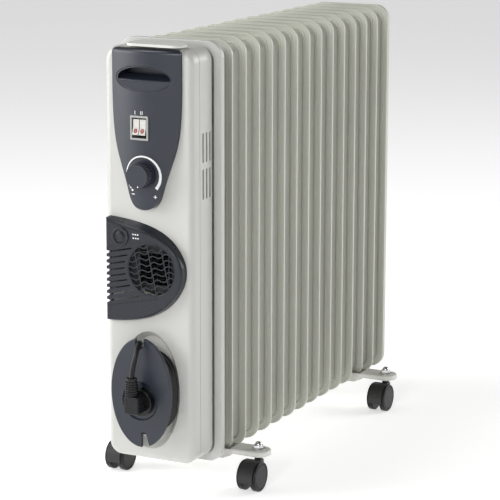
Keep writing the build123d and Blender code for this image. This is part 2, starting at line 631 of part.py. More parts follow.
SWITCH_FRONT_Y = FACE_Y - SWITCH_STAND
SWITCH_BACK_Y = FACE_Y + 14.0
SWITCH_BEZEL_BACK_Y = FACE_Y - PANEL_CROWN + 3.0
with BuildPart() as switch_frame:
    with BuildSketch(facing(SWITCH_BEZEL_BACK_Y)):
        with Locations((SWITCH_X, SWITCH_Z)):
            RectangleRounded(SWITCH_WIDTH, SWITCH_HEIGHT, 1.0)
    extrude(amount=SWITCH_BEZEL_BACK_Y - SWITCH_FRONT_Y)
    fillet(switch_frame.edges().group_by(Axis.Y)[0], 0.6)
    add(shield_outside, mode=Mode.SUBTRACT)
    with BuildSketch(facing(SWITCH_BACK_Y)):
        with Locations((SWITCH_X, SWITCH_Z)):
            Rectangle(SWITCH_WIDTH - 3.4, SWITCH_HEIGHT - 3.4)
    extrude(amount=SWITCH_BACK_Y - FACE_Y + PANEL_CROWN)
    with BuildSketch(facing(SWITCH_BACK_Y - 2)):
        with Locations((SWITCH_X, SWITCH_Z)):
            Rectangle(SWITCH_OPENING_WIDTH, SWITCH_OPENING_HEIGHT)
    extrude(amount=60, mode=Mode.SUBTRACT)
    with BuildSketch(Plane.YZ.offset(SWITCH_X - SWITCH_OPENING_WIDTH / 2 - 1)):
        with Locations((ROCKER_PIVOT_Y, SWITCH_Z)):
            Circle(1.5)
    extrude(amount=SWITCH_OPENING_WIDTH + 2)
    with BuildSketch(facing(SWITCH_BACK_Y)):
        with Locations((SWITCH_X, SWITCH_Z)):
            with GridLocations(6, 9, 3, 2):
                Rectangle(0.8, 4)
    extrude(amount=-8)
save(switch_frame, "switch_frame")


def tilted(y, z):
    """A point of a rocker's side profile, turned to the rest tilt about its pivot."""
    angle = radians(ROCKER_TILT)
    return (ROCKER_PIVOT_Y + y * cos(angle) + z * sin(angle), SWITCH_Z - y * sin(angle) + z * cos(angle))


for index, name in ((0, "rocker_1"), (1, "rocker_2")):
    middle_x = SWITCH_X + (index - 0.5) * ROCKER_PITCH
    with BuildPart() as rocker:
        with BuildSketch(Plane.YZ.offset(middle_x - ROCKER_WIDTH / 2)):
            with BuildLine():
                Polyline(tilted(-7.0, ROCKER_HALF_HEIGHT), tilted(-5.2, 0), tilted(-7.0, -ROCKER_HALF_HEIGHT),
                         tilted(-3.0, -ROCKER_HALF_HEIGHT), tilted(4.0, -4.0), tilted(4.0, 4.0),
                         tilted(-3.0, ROCKER_HALF_HEIGHT), close=True)
            make_face()
            with Locations((ROCKER_PIVOT_Y, SWITCH_Z)):
                Circle(1.5 + RUNNING_FIT, mode=Mode.SUBTRACT)
        extrude(amount=ROCKER_WIDTH)
        fillet(rocker.edges().filter_by(Axis.X).sort_by(Axis.Y)[0:2], 0.6)
    save(rocker, name)

with BuildPart() as thermostat_knob:
    knob_back_y = FACE_Y - PANEL_CROWN - 1.0
    with BuildSketch(facing(knob_back_y)):
        with Locations((0, KNOB_Z)):
            Circle(KNOB_RADIUS + 1.5)
    extrude(amount=2.0)
    with BuildSketch(facing(knob_back_y)):
        with Locations((0, KNOB_Z)):
            Circle(KNOB_RADIUS)
            with PolarLocations(KNOB_RADIUS, 30):
                Circle(0.7, mode=Mode.SUBTRACT)
    extrude(amount=KNOB_HEIGHT, taper=1.5)
    fillet(thermostat_knob.faces().sort_by(Axis.Y)[0].edges(), 0.4)
    with BuildSketch(facing(knob_back_y)):
        with Locations((0, KNOB_Z)):
            Circle(KNOB_RADIUS - 3)
            Circle(6, mode=Mode.SUBTRACT)
    extrude(amount=KNOB_HEIGHT - 3, mode=Mode.SUBTRACT)
    with BuildSketch(facing(knob_back_y)):
        with Locations((0, KNOB_Z)):
            Circle(KNOB_BORE)
    extrude(amount=KNOB_HEIGHT - 4, mode=Mode.SUBTRACT)
save(thermostat_knob, "thermostat_knob")

with BuildPart() as thermostat_body:
    with BuildSketch(facing(FACE_Y + 26)):
        with Locations((0, KNOB_Z)):
            RectangleRounded(32, 32, 3)
    extrude(amount=22)
    with BuildSketch(facing(FACE_Y + 4)):
        with Locations((0, KNOB_Z)):
            Circle(SHAFT_RADIUS)
    extrude(amount=4 + PANEL_CROWN + KNOB_HEIGHT - 4)
    with BuildSketch(facing(FACE_Y + 26)):
        with Locations((0, KNOB_Z)):
            with GridLocations(14, 12, 2, 2):
                Rectangle(6, 0.8)
    extrude(amount=-8)
save(thermostat_body, "thermostat_body")


# ---------------------------------------------------------------- fan heater
# heights of the outline's top at its left, middle and right, its right end, and heights of its bottom back
COVER_BASE = (390.5, 382, 365.5, 57.5, 274.5, 250.5, 246)
COVER_FRONT = (389.5, 374.5, 360.5, 56.5, 277, 253.5, 250)


def cover_block(inset):
    """The cover's D-shaped dome: wide outline on the housing face, smaller flat front."""
    left = COVER_LEFT + inset
    with BuildPart() as dome:
        for y, outline in ((FACE_Y, COVER_BASE), (FACE_Y - COVER_STAND + inset, COVER_FRONT)):
            top_left, top_mid, top_right, right, low_right, low_mid, low_left = outline
            with BuildSketch(facing(y)):
                with BuildLine():
                    curve = Spline((left, top_left - inset), (0, top_mid - inset), (34, top_right - inset),
                                   (right - inset, 326), (33, low_right + inset), (-20, low_mid + inset),
                                   (left, low_left + inset))
                    Line(curve @ 1, curve @ 0)
                make_face()
        loft()
        fillet(dome.edges().group_by(Axis.Y)[0], COVER_EDGE - inset / 2)
    return dome.part


cover_outside = cover_block(0)
cover_inside = cover_block(COVER_WALL)


def pattern_point(along, across):
    """A point of the tilted louvre and grille pattern, measured from the grille's centre."""
    angle = radians(PATTERN_TILT)
    return (GRILLE_X + along * cos(angle) - across * sin(angle),
            GRILLE_Z + along * sin(angle) + across * cos(angle))


with BuildPart() as fan_cover:
    add(cover_outside)
    add(cover_inside, mode=Mode.SUBTRACT)
    with BuildSketch(facing(FACE_Y - COVER_STAND + PAD_DEPTH)):
        with Locations((GRILLE_X, GRILLE_Z)):
            Circle(PAD_RADIUS)
        with Locations(pattern_point(-45, 0)):
            Rectangle(90, 2 * PAD_RADIUS, rotation=PATTERN_TILT)
    extrude(amount=PAD_DEPTH + 1, mode=Mode.SUBTRACT)
    with BuildSketch(facing(FACE_Y)):
        with Locations((GRILLE_X, GRILLE_Z)):
            Circle(GRILLE_RADIUS)
    extrude(amount=COVER_STAND + 1, mode=Mode.SUBTRACT)
    with BuildSketch(facing(FACE_Y - 3)):
        for row in range(LOUVRE_COUNT):
            across = (row - (LOUVRE_COUNT - 1) / 2) * LOUVRE_PITCH
            reach = sqrt(PAD_RADIUS ** 2 - across ** 2) + 1.5
            with Locations(pattern_point(-(reach + 90) / 2, across)):
                Rectangle(90 - reach, LOUVRE_HEIGHT, rotation=PATTERN_TILT)
            notch_along = (COVER_LEFT - GRILLE_X) / cos(radians(PATTERN_TILT)) + across * tan(radians(PATTERN_TILT))
            with Locations(pattern_point(notch_along, across)):
                Rectangle(2 * NOTCH_DEPTH, NOTCH_HEIGHT)
    extrude(amount=COVER_STAND, mode=Mode.SUBTRACT)
    with BuildSketch(facing(FACE_Y - COVER_STAND + COVER_WALL)):
        with Locations((BUTTON_X, BUTTON_Z)):
            Circle(BUTTON_RING)
    extrude(amount=COVER_WALL + BUTTON_RING_STAND)
    fillet(fan_cover.edges().group_by(Axis.Y)[0], 0.9)
    with BuildSketch(facing(FACE_Y - 2)):
        with Locations((BUTTON_X, BUTTON_Z)):
            Circle(BUTTON_RADIUS + 0.5)
    extrude(amount=COVER_STAND + 4, mode=Mode.SUBTRACT)
save(fan_cover, "fan_cover")

GRILLE_THICKNESS = 2.0
GRILLE_SLACK = 0.25
GRILLE_FRONT_Y = FACE_Y - COVER_STAND + PAD_DEPTH


def wave(across, half_length):
    """Points of one wavy bar, a sine along the pattern's direction."""
    steps = 24
    points = []
    for step in range(steps + 1):
        along = half_length * (2 * step / steps - 1)
        points.append(pattern_point(along, across + BAR_WAVE * sin(2 * pi * along / BAR_WAVELENGTH)))
    return points


with BuildPart() as fan_grille:
    with BuildSketch(facing(GRILLE_FRONT_Y + GRILLE_THICKNESS)):
        with Locations((GRILLE_X, GRILLE_Z)):
            Circle(GRILLE_RADIUS)
            Circle(GRILLE_RADIUS - 1.4, mode=Mode.SUBTRACT)
    extrude(amount=GRILLE_THICKNESS)
    with BuildSketch(facing(GRILLE_FRONT_Y + GRILLE_THICKNESS)):
        for row in range(BAR_COUNT):
            bar_offset = (row - (BAR_COUNT - 1) / 2) * BAR_PITCH
            reach = sqrt((GRILLE_RADIUS - 0.8) ** 2 - bar_offset ** 2)
            with BuildLine():
                bar = Spline(*wave(bar_offset, reach))
            trace(bar, BAR_WIDTH)
        for column in (-1, 0, 1):
            rib_offset = column * RIB_SPACING
            reach = sqrt((GRILLE_RADIUS - 0.8) ** 2 - rib_offset ** 2)
            with BuildLine():
                rib = Line(pattern_point(rib_offset, -reach), pattern_point(rib_offset, reach))
            trace(rib, BAR_WIDTH)
    extrude(amount=GRILLE_THICKNESS - 0.4)
    with BuildSketch(facing(GRILLE_FRONT_Y + GRILLE_THICKNESS)):
        with Locations((GRILLE_X, GRILLE_Z)):
            Circle(GRILLE_RADIUS - GRILLE_SLACK)
    extrude(amount=GRILLE_THICKNESS, mode=Mode.INTERSECT)
save(fan_grille, "fan_grille")

with BuildPart() as fan_button:
    button_front_y = FACE_Y - COVER_STAND - 1.0
    with BuildSketch(facing(button_front_y + 8)):
        with Locations((BUTTON_X, BUTTON_Z)):
            Circle(BUTTON_RADIUS)
    extrude(amount=8)
    with BuildSketch(facing(FACE_Y + 2)):
        with Locations((BUTTON_X, BUTTON_Z)):
            Circle(3)
    extrude(amount=FACE_Y + 2 - button_front_y - 6)
    with BuildSketch(facing(button_front_y)):
        with Locations((BUTTON_X, BUTTON_Z)):
            Circle(BUTTON_RADIUS - 1)
    extrude(amount=2.4, taper=52)
save(fan_button, "fan_button")

PTC_SIZE = 43.0
PTC_DEPTH = 10.0
PTC_FRONT_Y = FACE_Y - 4.0
with BuildPart() as ptc_heater:
    with BuildSketch(facing(PTC_FRONT_Y + PTC_DEPTH)):
        with Locations((GRILLE_X, GRILLE_Z)):
            Rectangle(PTC_SIZE, PTC_SIZE)
            with GridLocations(8.8, 4.2, 5, 10):
                Rectangle(7.6, 3.2, mode=Mode.SUBTRACT)
    extrude(amount=PTC_DEPTH)
save(ptc_heater, "ptc_heater")

FAN_RADIUS = 29.0
FAN_BLADES = 7
FAN_FRONT_Y = FACE_Y + 7.0
FAN_DEPTH = 9.0
HUB_RADIUS = 9.0
MOTOR_FRONT_Y = FAN_FRONT_Y + FAN_DEPTH + 3.0
MOTOR_DEPTH = 20.0
MOTOR_SHAFT_RADIUS = 1.6
with BuildPart() as fan_impeller:
    with BuildSketch(facing(FAN_FRONT_Y + FAN_DEPTH)):
        with Locations((GRILLE_X, GRILLE_Z)):
            Circle(HUB_RADIUS)
    extrude(amount=FAN_DEPTH)
    fillet(fan_impeller.edges().sort_by(Axis.Y)[0], 2)
    for blade in range(FAN_BLADES):
        turn = 360 * blade / FAN_BLADES
        blade_frame = Plane(origin=(GRILLE_X, FAN_FRONT_Y + FAN_DEPTH / 2, GRILLE_Z),
                            x_dir=(-sin(radians(turn)), 0, cos(radians(turn))),
                            z_dir=(cos(radians(turn)), 0, sin(radians(turn))))
        with BuildSketch(blade_frame.offset(HUB_RADIUS - 1)):
            Rectangle(9, 1.2, rotation=30)
        with BuildSketch(blade_frame.offset(FAN_RADIUS)):
            Rectangle(17, 1.2, rotation=18)
        loft()
    with BuildSketch(facing(FAN_FRONT_Y + FAN_DEPTH + 1)):
        with Locations((GRILLE_X, GRILLE_Z)):
            Circle(MOTOR_SHAFT_RADIUS + RUNNING_FIT)
    extrude(amount=FAN_DEPTH - 1, mode=Mode.SUBTRACT)
save(fan_impeller, "fan_impeller")

with BuildPart() as fan_motor:
    with BuildSketch(facing(MOTOR_FRONT_Y + MOTOR_DEPTH)):
        with Locations((GRILLE_X, GRILLE_Z)):
            Circle(14)
    extrude(amount=MOTOR_DEPTH)
    with BuildSketch(facing(MOTOR_FRONT_Y)):
        with Locations((GRILLE_X, GRILLE_Z)):
            Circle(MOTOR_SHAFT_RADIUS)
    extrude(amount=3 + FAN_DEPTH - 2)
save(fan_motor, "fan_motor")

FRAME_OUTER = 36.0
TRAY_X = -33.5
TRAY_WIDTH = 43.0
TRAY_HEIGHT = 64.0
TRAY_THICKNESS = 2.0
with BuildPart() as fan_frame:
    with BuildSketch(facing(MOTOR_FRONT_Y + 6)):
        with Locations((GRILLE_X, GRILLE_Z)):
            Circle(FRAME_OUTER)
            Circle(FAN_RADIUS + 2, mode=Mode.SUBTRACT)
    extrude(amount=MOTOR_FRONT_Y + 6 - FACE_Y - HOUSING_WALL)
    with BuildSketch(facing(MOTOR_FRONT_Y + 6)):
        with Locations((GRILLE_X, GRILLE_Z)):
            Rectangle(2 * FRAME_OUTER - 3, 6)
            Rectangle(6, 2 * FRAME_OUTER - 3)
            Circle(16.5)
            Circle(14, mode=Mode.SUBTRACT)
    extrude(amount=4)
    with BuildSketch(facing(FACE_Y + 1)):
        with Locations((GRILLE_X, GRILLE_Z)):
            Rectangle(PTC_SIZE + 3, PTC_SIZE + 3)
            Rectangle(PTC_SIZE, PTC_SIZE, mode=Mode.SUBTRACT)
    extrude(amount=5)
    with BuildSketch(facing(FACE_Y + HOUSING_WALL + 1)):
        with Locations((GRILLE_X, GRILLE_Z)):
            Circle(FRAME_OUTER - 3)
            Rectangle(PTC_SIZE, PTC_SIZE, mode=Mode.SUBTRACT)
    extrude(amount=HOUSING_WALL)
    with BuildSketch(facing(FACE_Y)):
        with Locations((TRAY_X, GRILLE_Z)):
            Rectangle(TRAY_WIDTH, TRAY_HEIGHT)
    extrude(amount=TRAY_THICKNESS)
save(fan_frame, "fan_frame")


# ---------------------------------------------------------------- cord store, cord and plug
def stadium(radius):
    """An upright stadium about the store's middle, straight for COIL_STRAIGHT between its round ends."""
    with Locations((0, COIL_CENTRE_Z)):
        SlotCenterToCenter(COIL_STRAIGHT, 2 * radius, rotation=90)


SPOOL_FLOOR_Y = FACE_Y + STORE_DEPTH
SPOOL_WALL = 2.7
SPOOL_FRONT_WALL = 3.0
PIN_SPACING = 19.0
PIN_RADIUS = 2.4
PIN_LENGTH = 19.0
PIN_HOLE_RADIUS = PIN_RADIUS + 0.2
with BuildPart() as cord_spool:
    with BuildSketch(facing(SPOOL_FLOOR_Y)):
        stadium(COIL_INNER_RADIUS - 0.3)
    extrude(amount=SPOOL_FLOOR_Y - DISC_BACK_Y)
    with BuildSketch(facing(SPOOL_FLOOR_Y)):
        stadium(COIL_INNER_RADIUS + 6)
    extrude(amount=SPOOL_FLOOR_Y - COIL_BACK_Y - 0.2)
    with BuildSketch(facing(SPOOL_FLOOR_Y)):
        stadium(COIL_INNER_RADIUS - 0.3 - SPOOL_WALL)
    extrude(amount=SPOOL_FLOOR_Y - DISC_BACK_Y - SPOOL_FRONT_WALL, mode=Mode.SUBTRACT)
    with BuildSketch(facing(SPOOL_FLOOR_Y)):
        with Locations((PLUG_X, PLUG_Z)):
            with GridLocations(PIN_SPACING, 0, 2, 1):
                Circle(PIN_HOLE_RADIUS)
        with Locations((GLAND_X, GLAND_Z)):
            Circle(GLAND_RADIUS + 0.1)
    extrude(amount=2 * (SPOOL_FLOOR_Y - DISC_BACK_Y), mode=Mode.SUBTRACT)
save(cord_spool, "cord_spool")

DISC_EDGE = 1.5
TOP_NOTCH_X = -1.2
TOP_NOTCH_WIDTH = 12.5
TOP_NOTCH_BOTTOM = 217.0
LOW_NOTCH_LEFT = 0.5
LOW_NOTCH_TOP_WIDTH = 7.0
LOW_NOTCH_BOTTOM_WIDTH = 13.5
LOW_NOTCH_TOP = 102.0
LOW_NOTCH_BOTTOM = 80.0
NOTCH_REACH = 40.0
DISH_RADIUS = 27.0
DISH_DEPTH = 2.6
DISH_X = PLUG_X - 3.0
with BuildPart() as cord_disc:
    with BuildSketch(facing(DISC_BACK_Y)):
        with Locations((0, DISC_Z)):
            Ellipse(DISC_HALF_WIDTH, DISC_HALF_HEIGHT)
    extrude(amount=DISC_THICKNESS)
    fillet(cord_disc.edges().group_by(Axis.Y)[0], DISC_EDGE)
    with BuildSketch(facing(DISC_BACK_Y)):
        with Locations((TOP_NOTCH_X, TOP_NOTCH_BOTTOM + NOTCH_REACH / 2)):
            SlotOverall(NOTCH_REACH, TOP_NOTCH_WIDTH, rotation=90)
        with BuildLine():
            Polyline((LOW_NOTCH_LEFT, LOW_NOTCH_TOP), (LOW_NOTCH_LEFT + LOW_NOTCH_TOP_WIDTH, LOW_NOTCH_TOP),
                     (LOW_NOTCH_LEFT + LOW_NOTCH_BOTTOM_WIDTH, LOW_NOTCH_BOTTOM),
                     (LOW_NOTCH_LEFT, LOW_NOTCH_BOTTOM), close=True)
        make_face()
    extrude(amount=DISC_THICKNESS, mode=Mode.SUBTRACT)
    with BuildSketch(facing(DISC_FRONT_Y + DISH_DEPTH)):
        with Locations((DISH_X, PLUG_Z)):
            Circle(DISH_RADIUS - 2)
    with BuildSketch(facing(DISC_FRONT_Y)):
        with Locations((DISH_X, PLUG_Z)):
            Circle(DISH_RADIUS)
    loft(mode=Mode.SUBTRACT)
    with BuildSketch(facing(DISC_BACK_Y)):
        with Locations((PLUG_X, PLUG_Z)):
            with GridLocations(PIN_SPACING, 0, 2, 1):
                Circle(PIN_HOLE_RADIUS)
    extrude(amount=DISC_THICKNESS, mode=Mode.SUBTRACT)
    with BuildSketch(facing(DISC_FRONT_Y + 1)):
        with Locations((PEG_X, PEG_Z)):
            Circle(PEG_RADIUS)
    extrude(amount=PEG_STAND + 1)
    fillet(cord_disc.edges().group_by(Axis.Y)[0], 0.8)
save(cord_disc, "cord_disc")

GLAND_FLANGE_Y = SPOOL_FLOOR_Y + HOUSING_WALL
with BuildPart() as cord_gland:
    with BuildSketch(facing(GLAND_FLANGE_Y + 4)):
        with Locations((GLAND_X, GLAND_Z)):
            Circle(GLAND_RADIUS)
    extrude(amount=GLAND_FLANGE_Y + 4 - COIL_BACK_Y)
    with BuildSketch(facing(GLAND_FLANGE_Y + 3)):
        with Locations((GLAND_X, GLAND_Z)):
            RegularPolygon(GLAND_RADIUS + 3.5, 6)
    extrude(amount=3)
save(cord_gland, "cord_gland")

# The wound cord: three rows deep, two turns across each row, as the outer shape of the winding.
with BuildPart() as cord_coil:
    with BuildSketch(facing(COIL_BACK_Y)):
        stadium(COIL_OUTER_RADIUS)
    extrude(amount=COIL_ROWS * CORD_DIAMETER)
    fillet(cord_coil.edges(), COIL_EDGE)
    with BuildSketch(facing(COIL_BACK_Y)):
        stadium(COIL_INNER_RADIUS)
    extrude(amount=COIL_ROWS * CORD_DIAMETER, mode=Mode.SUBTRACT)
save(cord_coil, "cord_coil")

OUTER_TURN_RADIUS = COIL_OUTER_RADIUS - CORD_DIAMETER / 2
INNER_TURN_RADIUS = COIL_INNER_RADIUS + CORD_DIAMETER / 2
wound_length = (OUTER_TURNS * (2 * pi * OUTER_TURN_RADIUS + 2 * COIL_STRAIGHT)
                + INNER_TURNS * (2 * pi * INNER_TURN_RADIUS + 2 * COIL_STRAIGHT))

# The free end: out of the winding, through the disc's top notch and down to the plug.
TAIL_ROUTE = (
    (-28.6, FACE_Y - 17.2, 201.6),
    (-14.5, FACE_Y - 17.2, 214.8),
    (-2.4, FACE_Y - 18.0, 223.4),
    (0.6, FACE_Y - 29.4, 228.4),
    (2.2, FACE_Y - 37.0, 223.0),
    (2.0, FACE_Y - 42.6, 211.0),
    (0.2, FACE_Y - 46.4, 197.5),
    (BOOT_X, BOOT_Y, BOOT_TOP),
)


def bend_radii(route):
    """A radius for each inner point of a route, as large as the shorter of its two runs allows."""
    points = [Vector(point) for point in route]
    radii = []
    for before, corner, after in zip(points, points[1:], points[2:]):
        shorter_run = min((corner - before).length, (after - corner).length)
        half_turn = radians((corner - before).get_angle(after - corner)) / 2
        radii.append(0.45 * shorter_run / tan(half_turn))
    return radii


tail_radii = bend_radii(TAIL_ROUTE)
with BuildPart() as cord_tail:
    with BuildLine() as tail_path:
        FilletPolyline(*TAIL_ROUTE, radius=tail_radii)
    with BuildSketch(Plane(origin=TAIL_ROUTE[0], z_dir=tail_path.wire() % 0)):
        Circle(CORD_DIAMETER / 2)
    sweep(path=tail_path.wire())
save(cord_tail, "cord_tail")
tail_length = tail_path.wire().length
tail_section = pi * (CORD_DIAMETER / 2) ** 2
print("tail bend radii:", [round(radius, 1) for radius in tail_radii])
print("tail length:", round(tail_length, 1), "wound length:", round(wound_length, 1))
print("tail volume over section times length:", round(cord_tail.part.volume / (tail_section * tail_length), 4))

PLUG_BACK_Y = DISC_FRONT_Y + DISH_DEPTH
PLUG_FLANGE_DEPTH = 10.6
PLUG_FRONT_Y = FACE_Y - 58.5
PLUG_BLOCK_WIDTH = 21.5
PLUG_BLOCK_HEIGHT = 24.0
PLUG_BLOCK_SHIFT = 1.4
PLUG_BLOCK_RISE = 2.0
BOOT_LENGTH = BOOT_TOP - PLUG_Z
BOOT_LOW_RADIUS = 8.2
BOOT_HIGH_RADIUS = 6.0
BOOT_RIBS = 6
BOOT_RIB_START = PLUG_Z + PLUG_BLOCK_RISE + PLUG_BLOCK_HEIGHT / 2 + 1.2
BOOT_RIB_PITCH = 3.2
BOOT_RIB_STAND = 1.2
COLLAR_STAND = 1.2
COLLAR_HEIGHT = 3.0
with BuildPart() as plug_body:
    with BuildSketch(facing(PLUG_BACK_Y)):
        with Locations((PLUG_X, PLUG_Z)):
            Circle(PLUG_FLANGE_RADIUS)
    extrude(amount=PLUG_FLANGE_DEPTH)
    fillet(plug_body.edges().group_by(Axis.Y)[0], 1.5)
    with BuildSketch(facing(PLUG_BACK_Y - PLUG_FLANGE_DEPTH)):
        with Locations((PLUG_X + PLUG_BLOCK_SHIFT, PLUG_Z + PLUG_BLOCK_RISE)):
            RectangleRounded(PLUG_BLOCK_WIDTH, PLUG_BLOCK_HEIGHT, 3)
    extrude(amount=PLUG_BACK_Y - PLUG_FLANGE_DEPTH - PLUG_FRONT_Y)
    fillet(plug_body.edges().group_by(Axis.Y)[0], 1.6)
    with BuildSketch(Plane.XY.offset(PLUG_Z)):
        with Locations((BOOT_X, BOOT_Y)):
            Circle(BOOT_LOW_RADIUS)
    with BuildSketch(Plane.XY.offset(BOOT_TOP)):
        with Locations((BOOT_X, BOOT_Y)):
            Circle(BOOT_HIGH_RADIUS)
    loft()
    for rib in range(BOOT_RIBS):
        rib_z = BOOT_RIB_START + rib * BOOT_RIB_PITCH
        rib_radius = BOOT_LOW_RADIUS + BOOT_RIB_STAND - 0.2 * rib
        with BuildSketch(Plane.XY.offset(rib_z)):
            with Locations((BOOT_X, BOOT_Y)):
                Circle(rib_radius)
        extrude(amount=BOOT_RIB_PITCH / 2)
    with BuildSketch(Plane.XY.offset(BOOT_TOP - COLLAR_HEIGHT)):
        with Locations((BOOT_X, BOOT_Y)):
            Circle(BOOT_HIGH_RADIUS + COLLAR_STAND)
    extrude(amount=COLLAR_HEIGHT)
save(plug_body, "plug_body")

with BuildPart() as plug_pins:
    with BuildSketch(facing(PLUG_BACK_Y + PIN_LENGTH)):
        with Locations((PLUG_X, PLUG_Z)):
            with GridLocations(PIN_SPACING, 0, 2, 1):
                Circle(PIN_RADIUS)
    extrude(amount=PIN_LENGTH)
    fillet(plug_pins.edges().group_by(Axis.Y)[-1], 1.6)
save(plug_pins, "plug_pins")


# ---------------------------------------------------------------- feet and casters
ARM_RADIUS = 15.0
FOOT_EDGE = 3.0
SADDLE_SLOPE_X = 58.0
SADDLE_RISE = 5.0
CLAMP_ROD_RADIUS = 2.5
CLAMP_RADIUS = COLLAR_RADIUS + CLAMP_ROD_RADIUS + 0.3
CLAMP_Y_OFFSET = 11.8
CLAMP_LEG_BOTTOM = 29.0
WING_NUT_BOTTOM = 32.0


def foot_bar(y):
    """A channel bar across the heater, with a low saddle that carries the fins."""
    half_inside = FOOT_WIDTH / 2 - FOOT_SHEET
    with BuildPart() as bar:
        with BuildSketch(Plane.XY.offset(FOOT_SKIRT)):
            with Locations((0, y)):
                RectangleRounded(2 * FOOT_HALF_LENGTH, FOOT_WIDTH, ARM_RADIUS)
        extrude(amount=FOOT_TOP - FOOT_SKIRT)
        fillet(bar.edges().group_by(Axis.Z)[-1], FOOT_EDGE)
        with BuildSketch(Plane.XY.offset(FOOT_SKIRT)):
            with Locations((0, y)):
                RectangleRounded(2 * (FOOT_HALF_LENGTH - FOOT_SHEET), 2 * half_inside, ARM_RADIUS - FOOT_SHEET)
        extrude(amount=FOOT_TOP - FOOT_SKIRT - FOOT_SHEET, mode=Mode.SUBTRACT)
        with BuildSketch(facing(y)):
            with Locations((0, FOOT_TOP)):
                Rectangle(2 * SADDLE_HALF_LENGTH - 0.2, 4 * FOOT_SKIRT)
        extrude(amount=FOOT_WIDTH, both=True, mode=Mode.SUBTRACT)
        with BuildSketch(facing(y + FOOT_WIDTH / 2)):
            with BuildLine():
                Polyline((-SADDLE_HALF_LENGTH, SADDLE_WALL_TOP), (-SADDLE_HALF_LENGTH, SADDLE_BOTTOM + SADDLE_RISE),
                         (-SADDLE_SLOPE_X, SADDLE_BOTTOM), (SADDLE_SLOPE_X, SADDLE_BOTTOM),
                         (SADDLE_HALF_LENGTH, SADDLE_BOTTOM + SADDLE_RISE), (SADDLE_HALF_LENGTH, SADDLE_WALL_TOP),
                         close=True)
            make_face()
        extrude(amount=FOOT_WIDTH)
        with BuildSketch(facing(y + half_inside)):
            with BuildLine():
                Polyline((-SADDLE_HALF_LENGTH + 1, SADDLE_WALL_TOP + 1),
                         (-SADDLE_HALF_LENGTH + 1, SADDLE_BOTTOM + SADDLE_RISE + FOOT_SHEET),
                         (-SADDLE_SLOPE_X, SADDLE_BOTTOM + FOOT_SHEET), (SADDLE_SLOPE_X, SADDLE_BOTTOM + FOOT_SHEET),
                         (SADDLE_HALF_LENGTH - 1, SADDLE_BOTTOM + SADDLE_RISE + FOOT_SHEET),
                         (SADDLE_HALF_LENGTH - 1, SADDLE_WALL_TOP + 1), close=True)
            make_face()
        extrude(amount=2 * half_inside, mode=Mode.SUBTRACT)
        with BuildSketch(Plane.XY.offset(SADDLE_BOTTOM - 1)):
            with Locations((-CASTER_X, y), (CASTER_X, y)):
                Circle(STEM_THREAD_RADIUS + RUNNING_FIT)
            with Locations((-CLAMP_RADIUS, y + CLAMP_Y_OFFSET), (CLAMP_RADIUS, y + CLAMP_Y_OFFSET)):
                Circle(CLAMP_ROD_RADIUS + 0.1)
        extrude(amount=2 * FOOT_TOP, mode=Mode.SUBTRACT)
    return bar


save(foot_bar(FRONT_FOOT_Y), "front_foot")
save(foot_bar(REAR_FOOT_Y), "rear_foot")

with BuildPart() as foot_clamps:
    for foot_y in (FRONT_FOOT_Y, REAR_FOOT_Y):
        y = foot_y + CLAMP_Y_OFFSET
        with BuildLine() as u_bolt:
            Line((-CLAMP_RADIUS, y, CLAMP_LEG_BOTTOM), (-CLAMP_RADIUS, y, LOWER_HEADER_Z))
            ThreePointArc((-CLAMP_RADIUS, y, LOWER_HEADER_Z), (0, y, LOWER_HEADER_Z + CLAMP_RADIUS),
                          (CLAMP_RADIUS, y, LOWER_HEADER_Z))
            Line((CLAMP_RADIUS, y, LOWER_HEADER_Z), (CLAMP_RADIUS, y, CLAMP_LEG_BOTTOM))
        with BuildSketch(Plane.XY.offset(CLAMP_LEG_BOTTOM)):
            with Locations((-CLAMP_RADIUS, y)):
                Circle(CLAMP_ROD_RADIUS)
        sweep(path=u_bolt.line)
        for x in (-CLAMP_RADIUS, CLAMP_RADIUS):
            with BuildSketch(Plane.XY.offset(WING_NUT_BOTTOM)):
                with Locations((x, y)):
                    Circle(5.0)
                    Rectangle(24, 2.4)
            extrude(amount=SADDLE_BOTTOM - WING_NUT_BOTTOM)
save(foot_clamps, "foot_clamps")

CAP_NUT_HEX = 7.4
CAP_NUT_HEX_HEIGHT = 5.6
CAP_NUT_DOME = 5.4
CAP_NUT_WASHER = 9.4
CAP_NUT_WASHER_HEIGHT = 1.2
STEM_TOP = FOOT_TOP + 7.0
caster_places = [(side * CASTER_X, foot_y) for foot_y in (FRONT_FOOT_Y, REAR_FOOT_Y) for side in (-1, 1)]
with BuildPart() as cap_nuts:
    with BuildSketch(Plane.XY.offset(FOOT_TOP)):
        with Locations(*caster_places):
            Circle(CAP_NUT_WASHER)
    extrude(amount=CAP_NUT_WASHER_HEIGHT)
    with BuildSketch(Plane.XY.offset(FOOT_TOP)):
        with Locations(*caster_places):
            RegularPolygon(CAP_NUT_HEX, 6)
    extrude(amount=CAP_NUT_HEX_HEIGHT)
    with Locations(*[(x, y, FOOT_TOP + CAP_NUT_HEX_HEIGHT) for x, y in caster_places]):
        Sphere(CAP_NUT_DOME)
    with BuildSketch(Plane.XY.offset(FOOT_TOP)):
        with Locations(*caster_places):
            Circle(CAP_NUT_HEX + 4)
    extrude(amount=-CAP_NUT_DOME, mode=Mode.SUBTRACT)
    with BuildSketch(Plane.XY.offset(FOOT_TOP)):
        with Locations(*caster_places):
            Circle(STEM_THREAD_RADIUS + RUNNING_FIT)
    extrude(amount=STEM_TOP + 0.5 - FOOT_TOP, mode=Mode.SUBTRACT)
save(cap_nuts, "cap_nuts")

TREAD_HEIGHT = 3.2
GROOVE_WIDTH = 1.1
GROOVE_DEPTH = 1.2
WHEEL_CAP = 2.4
HOOD_SHELL = 1.3
HOOD_WEB = 5.4
HOOD_LOW_Z = 15.0
STEM_SEAT_TOP = FOOT_TOP - FOOT_SHEET - 0.1
STEM_COLLAR_BOTTOM = 30.0


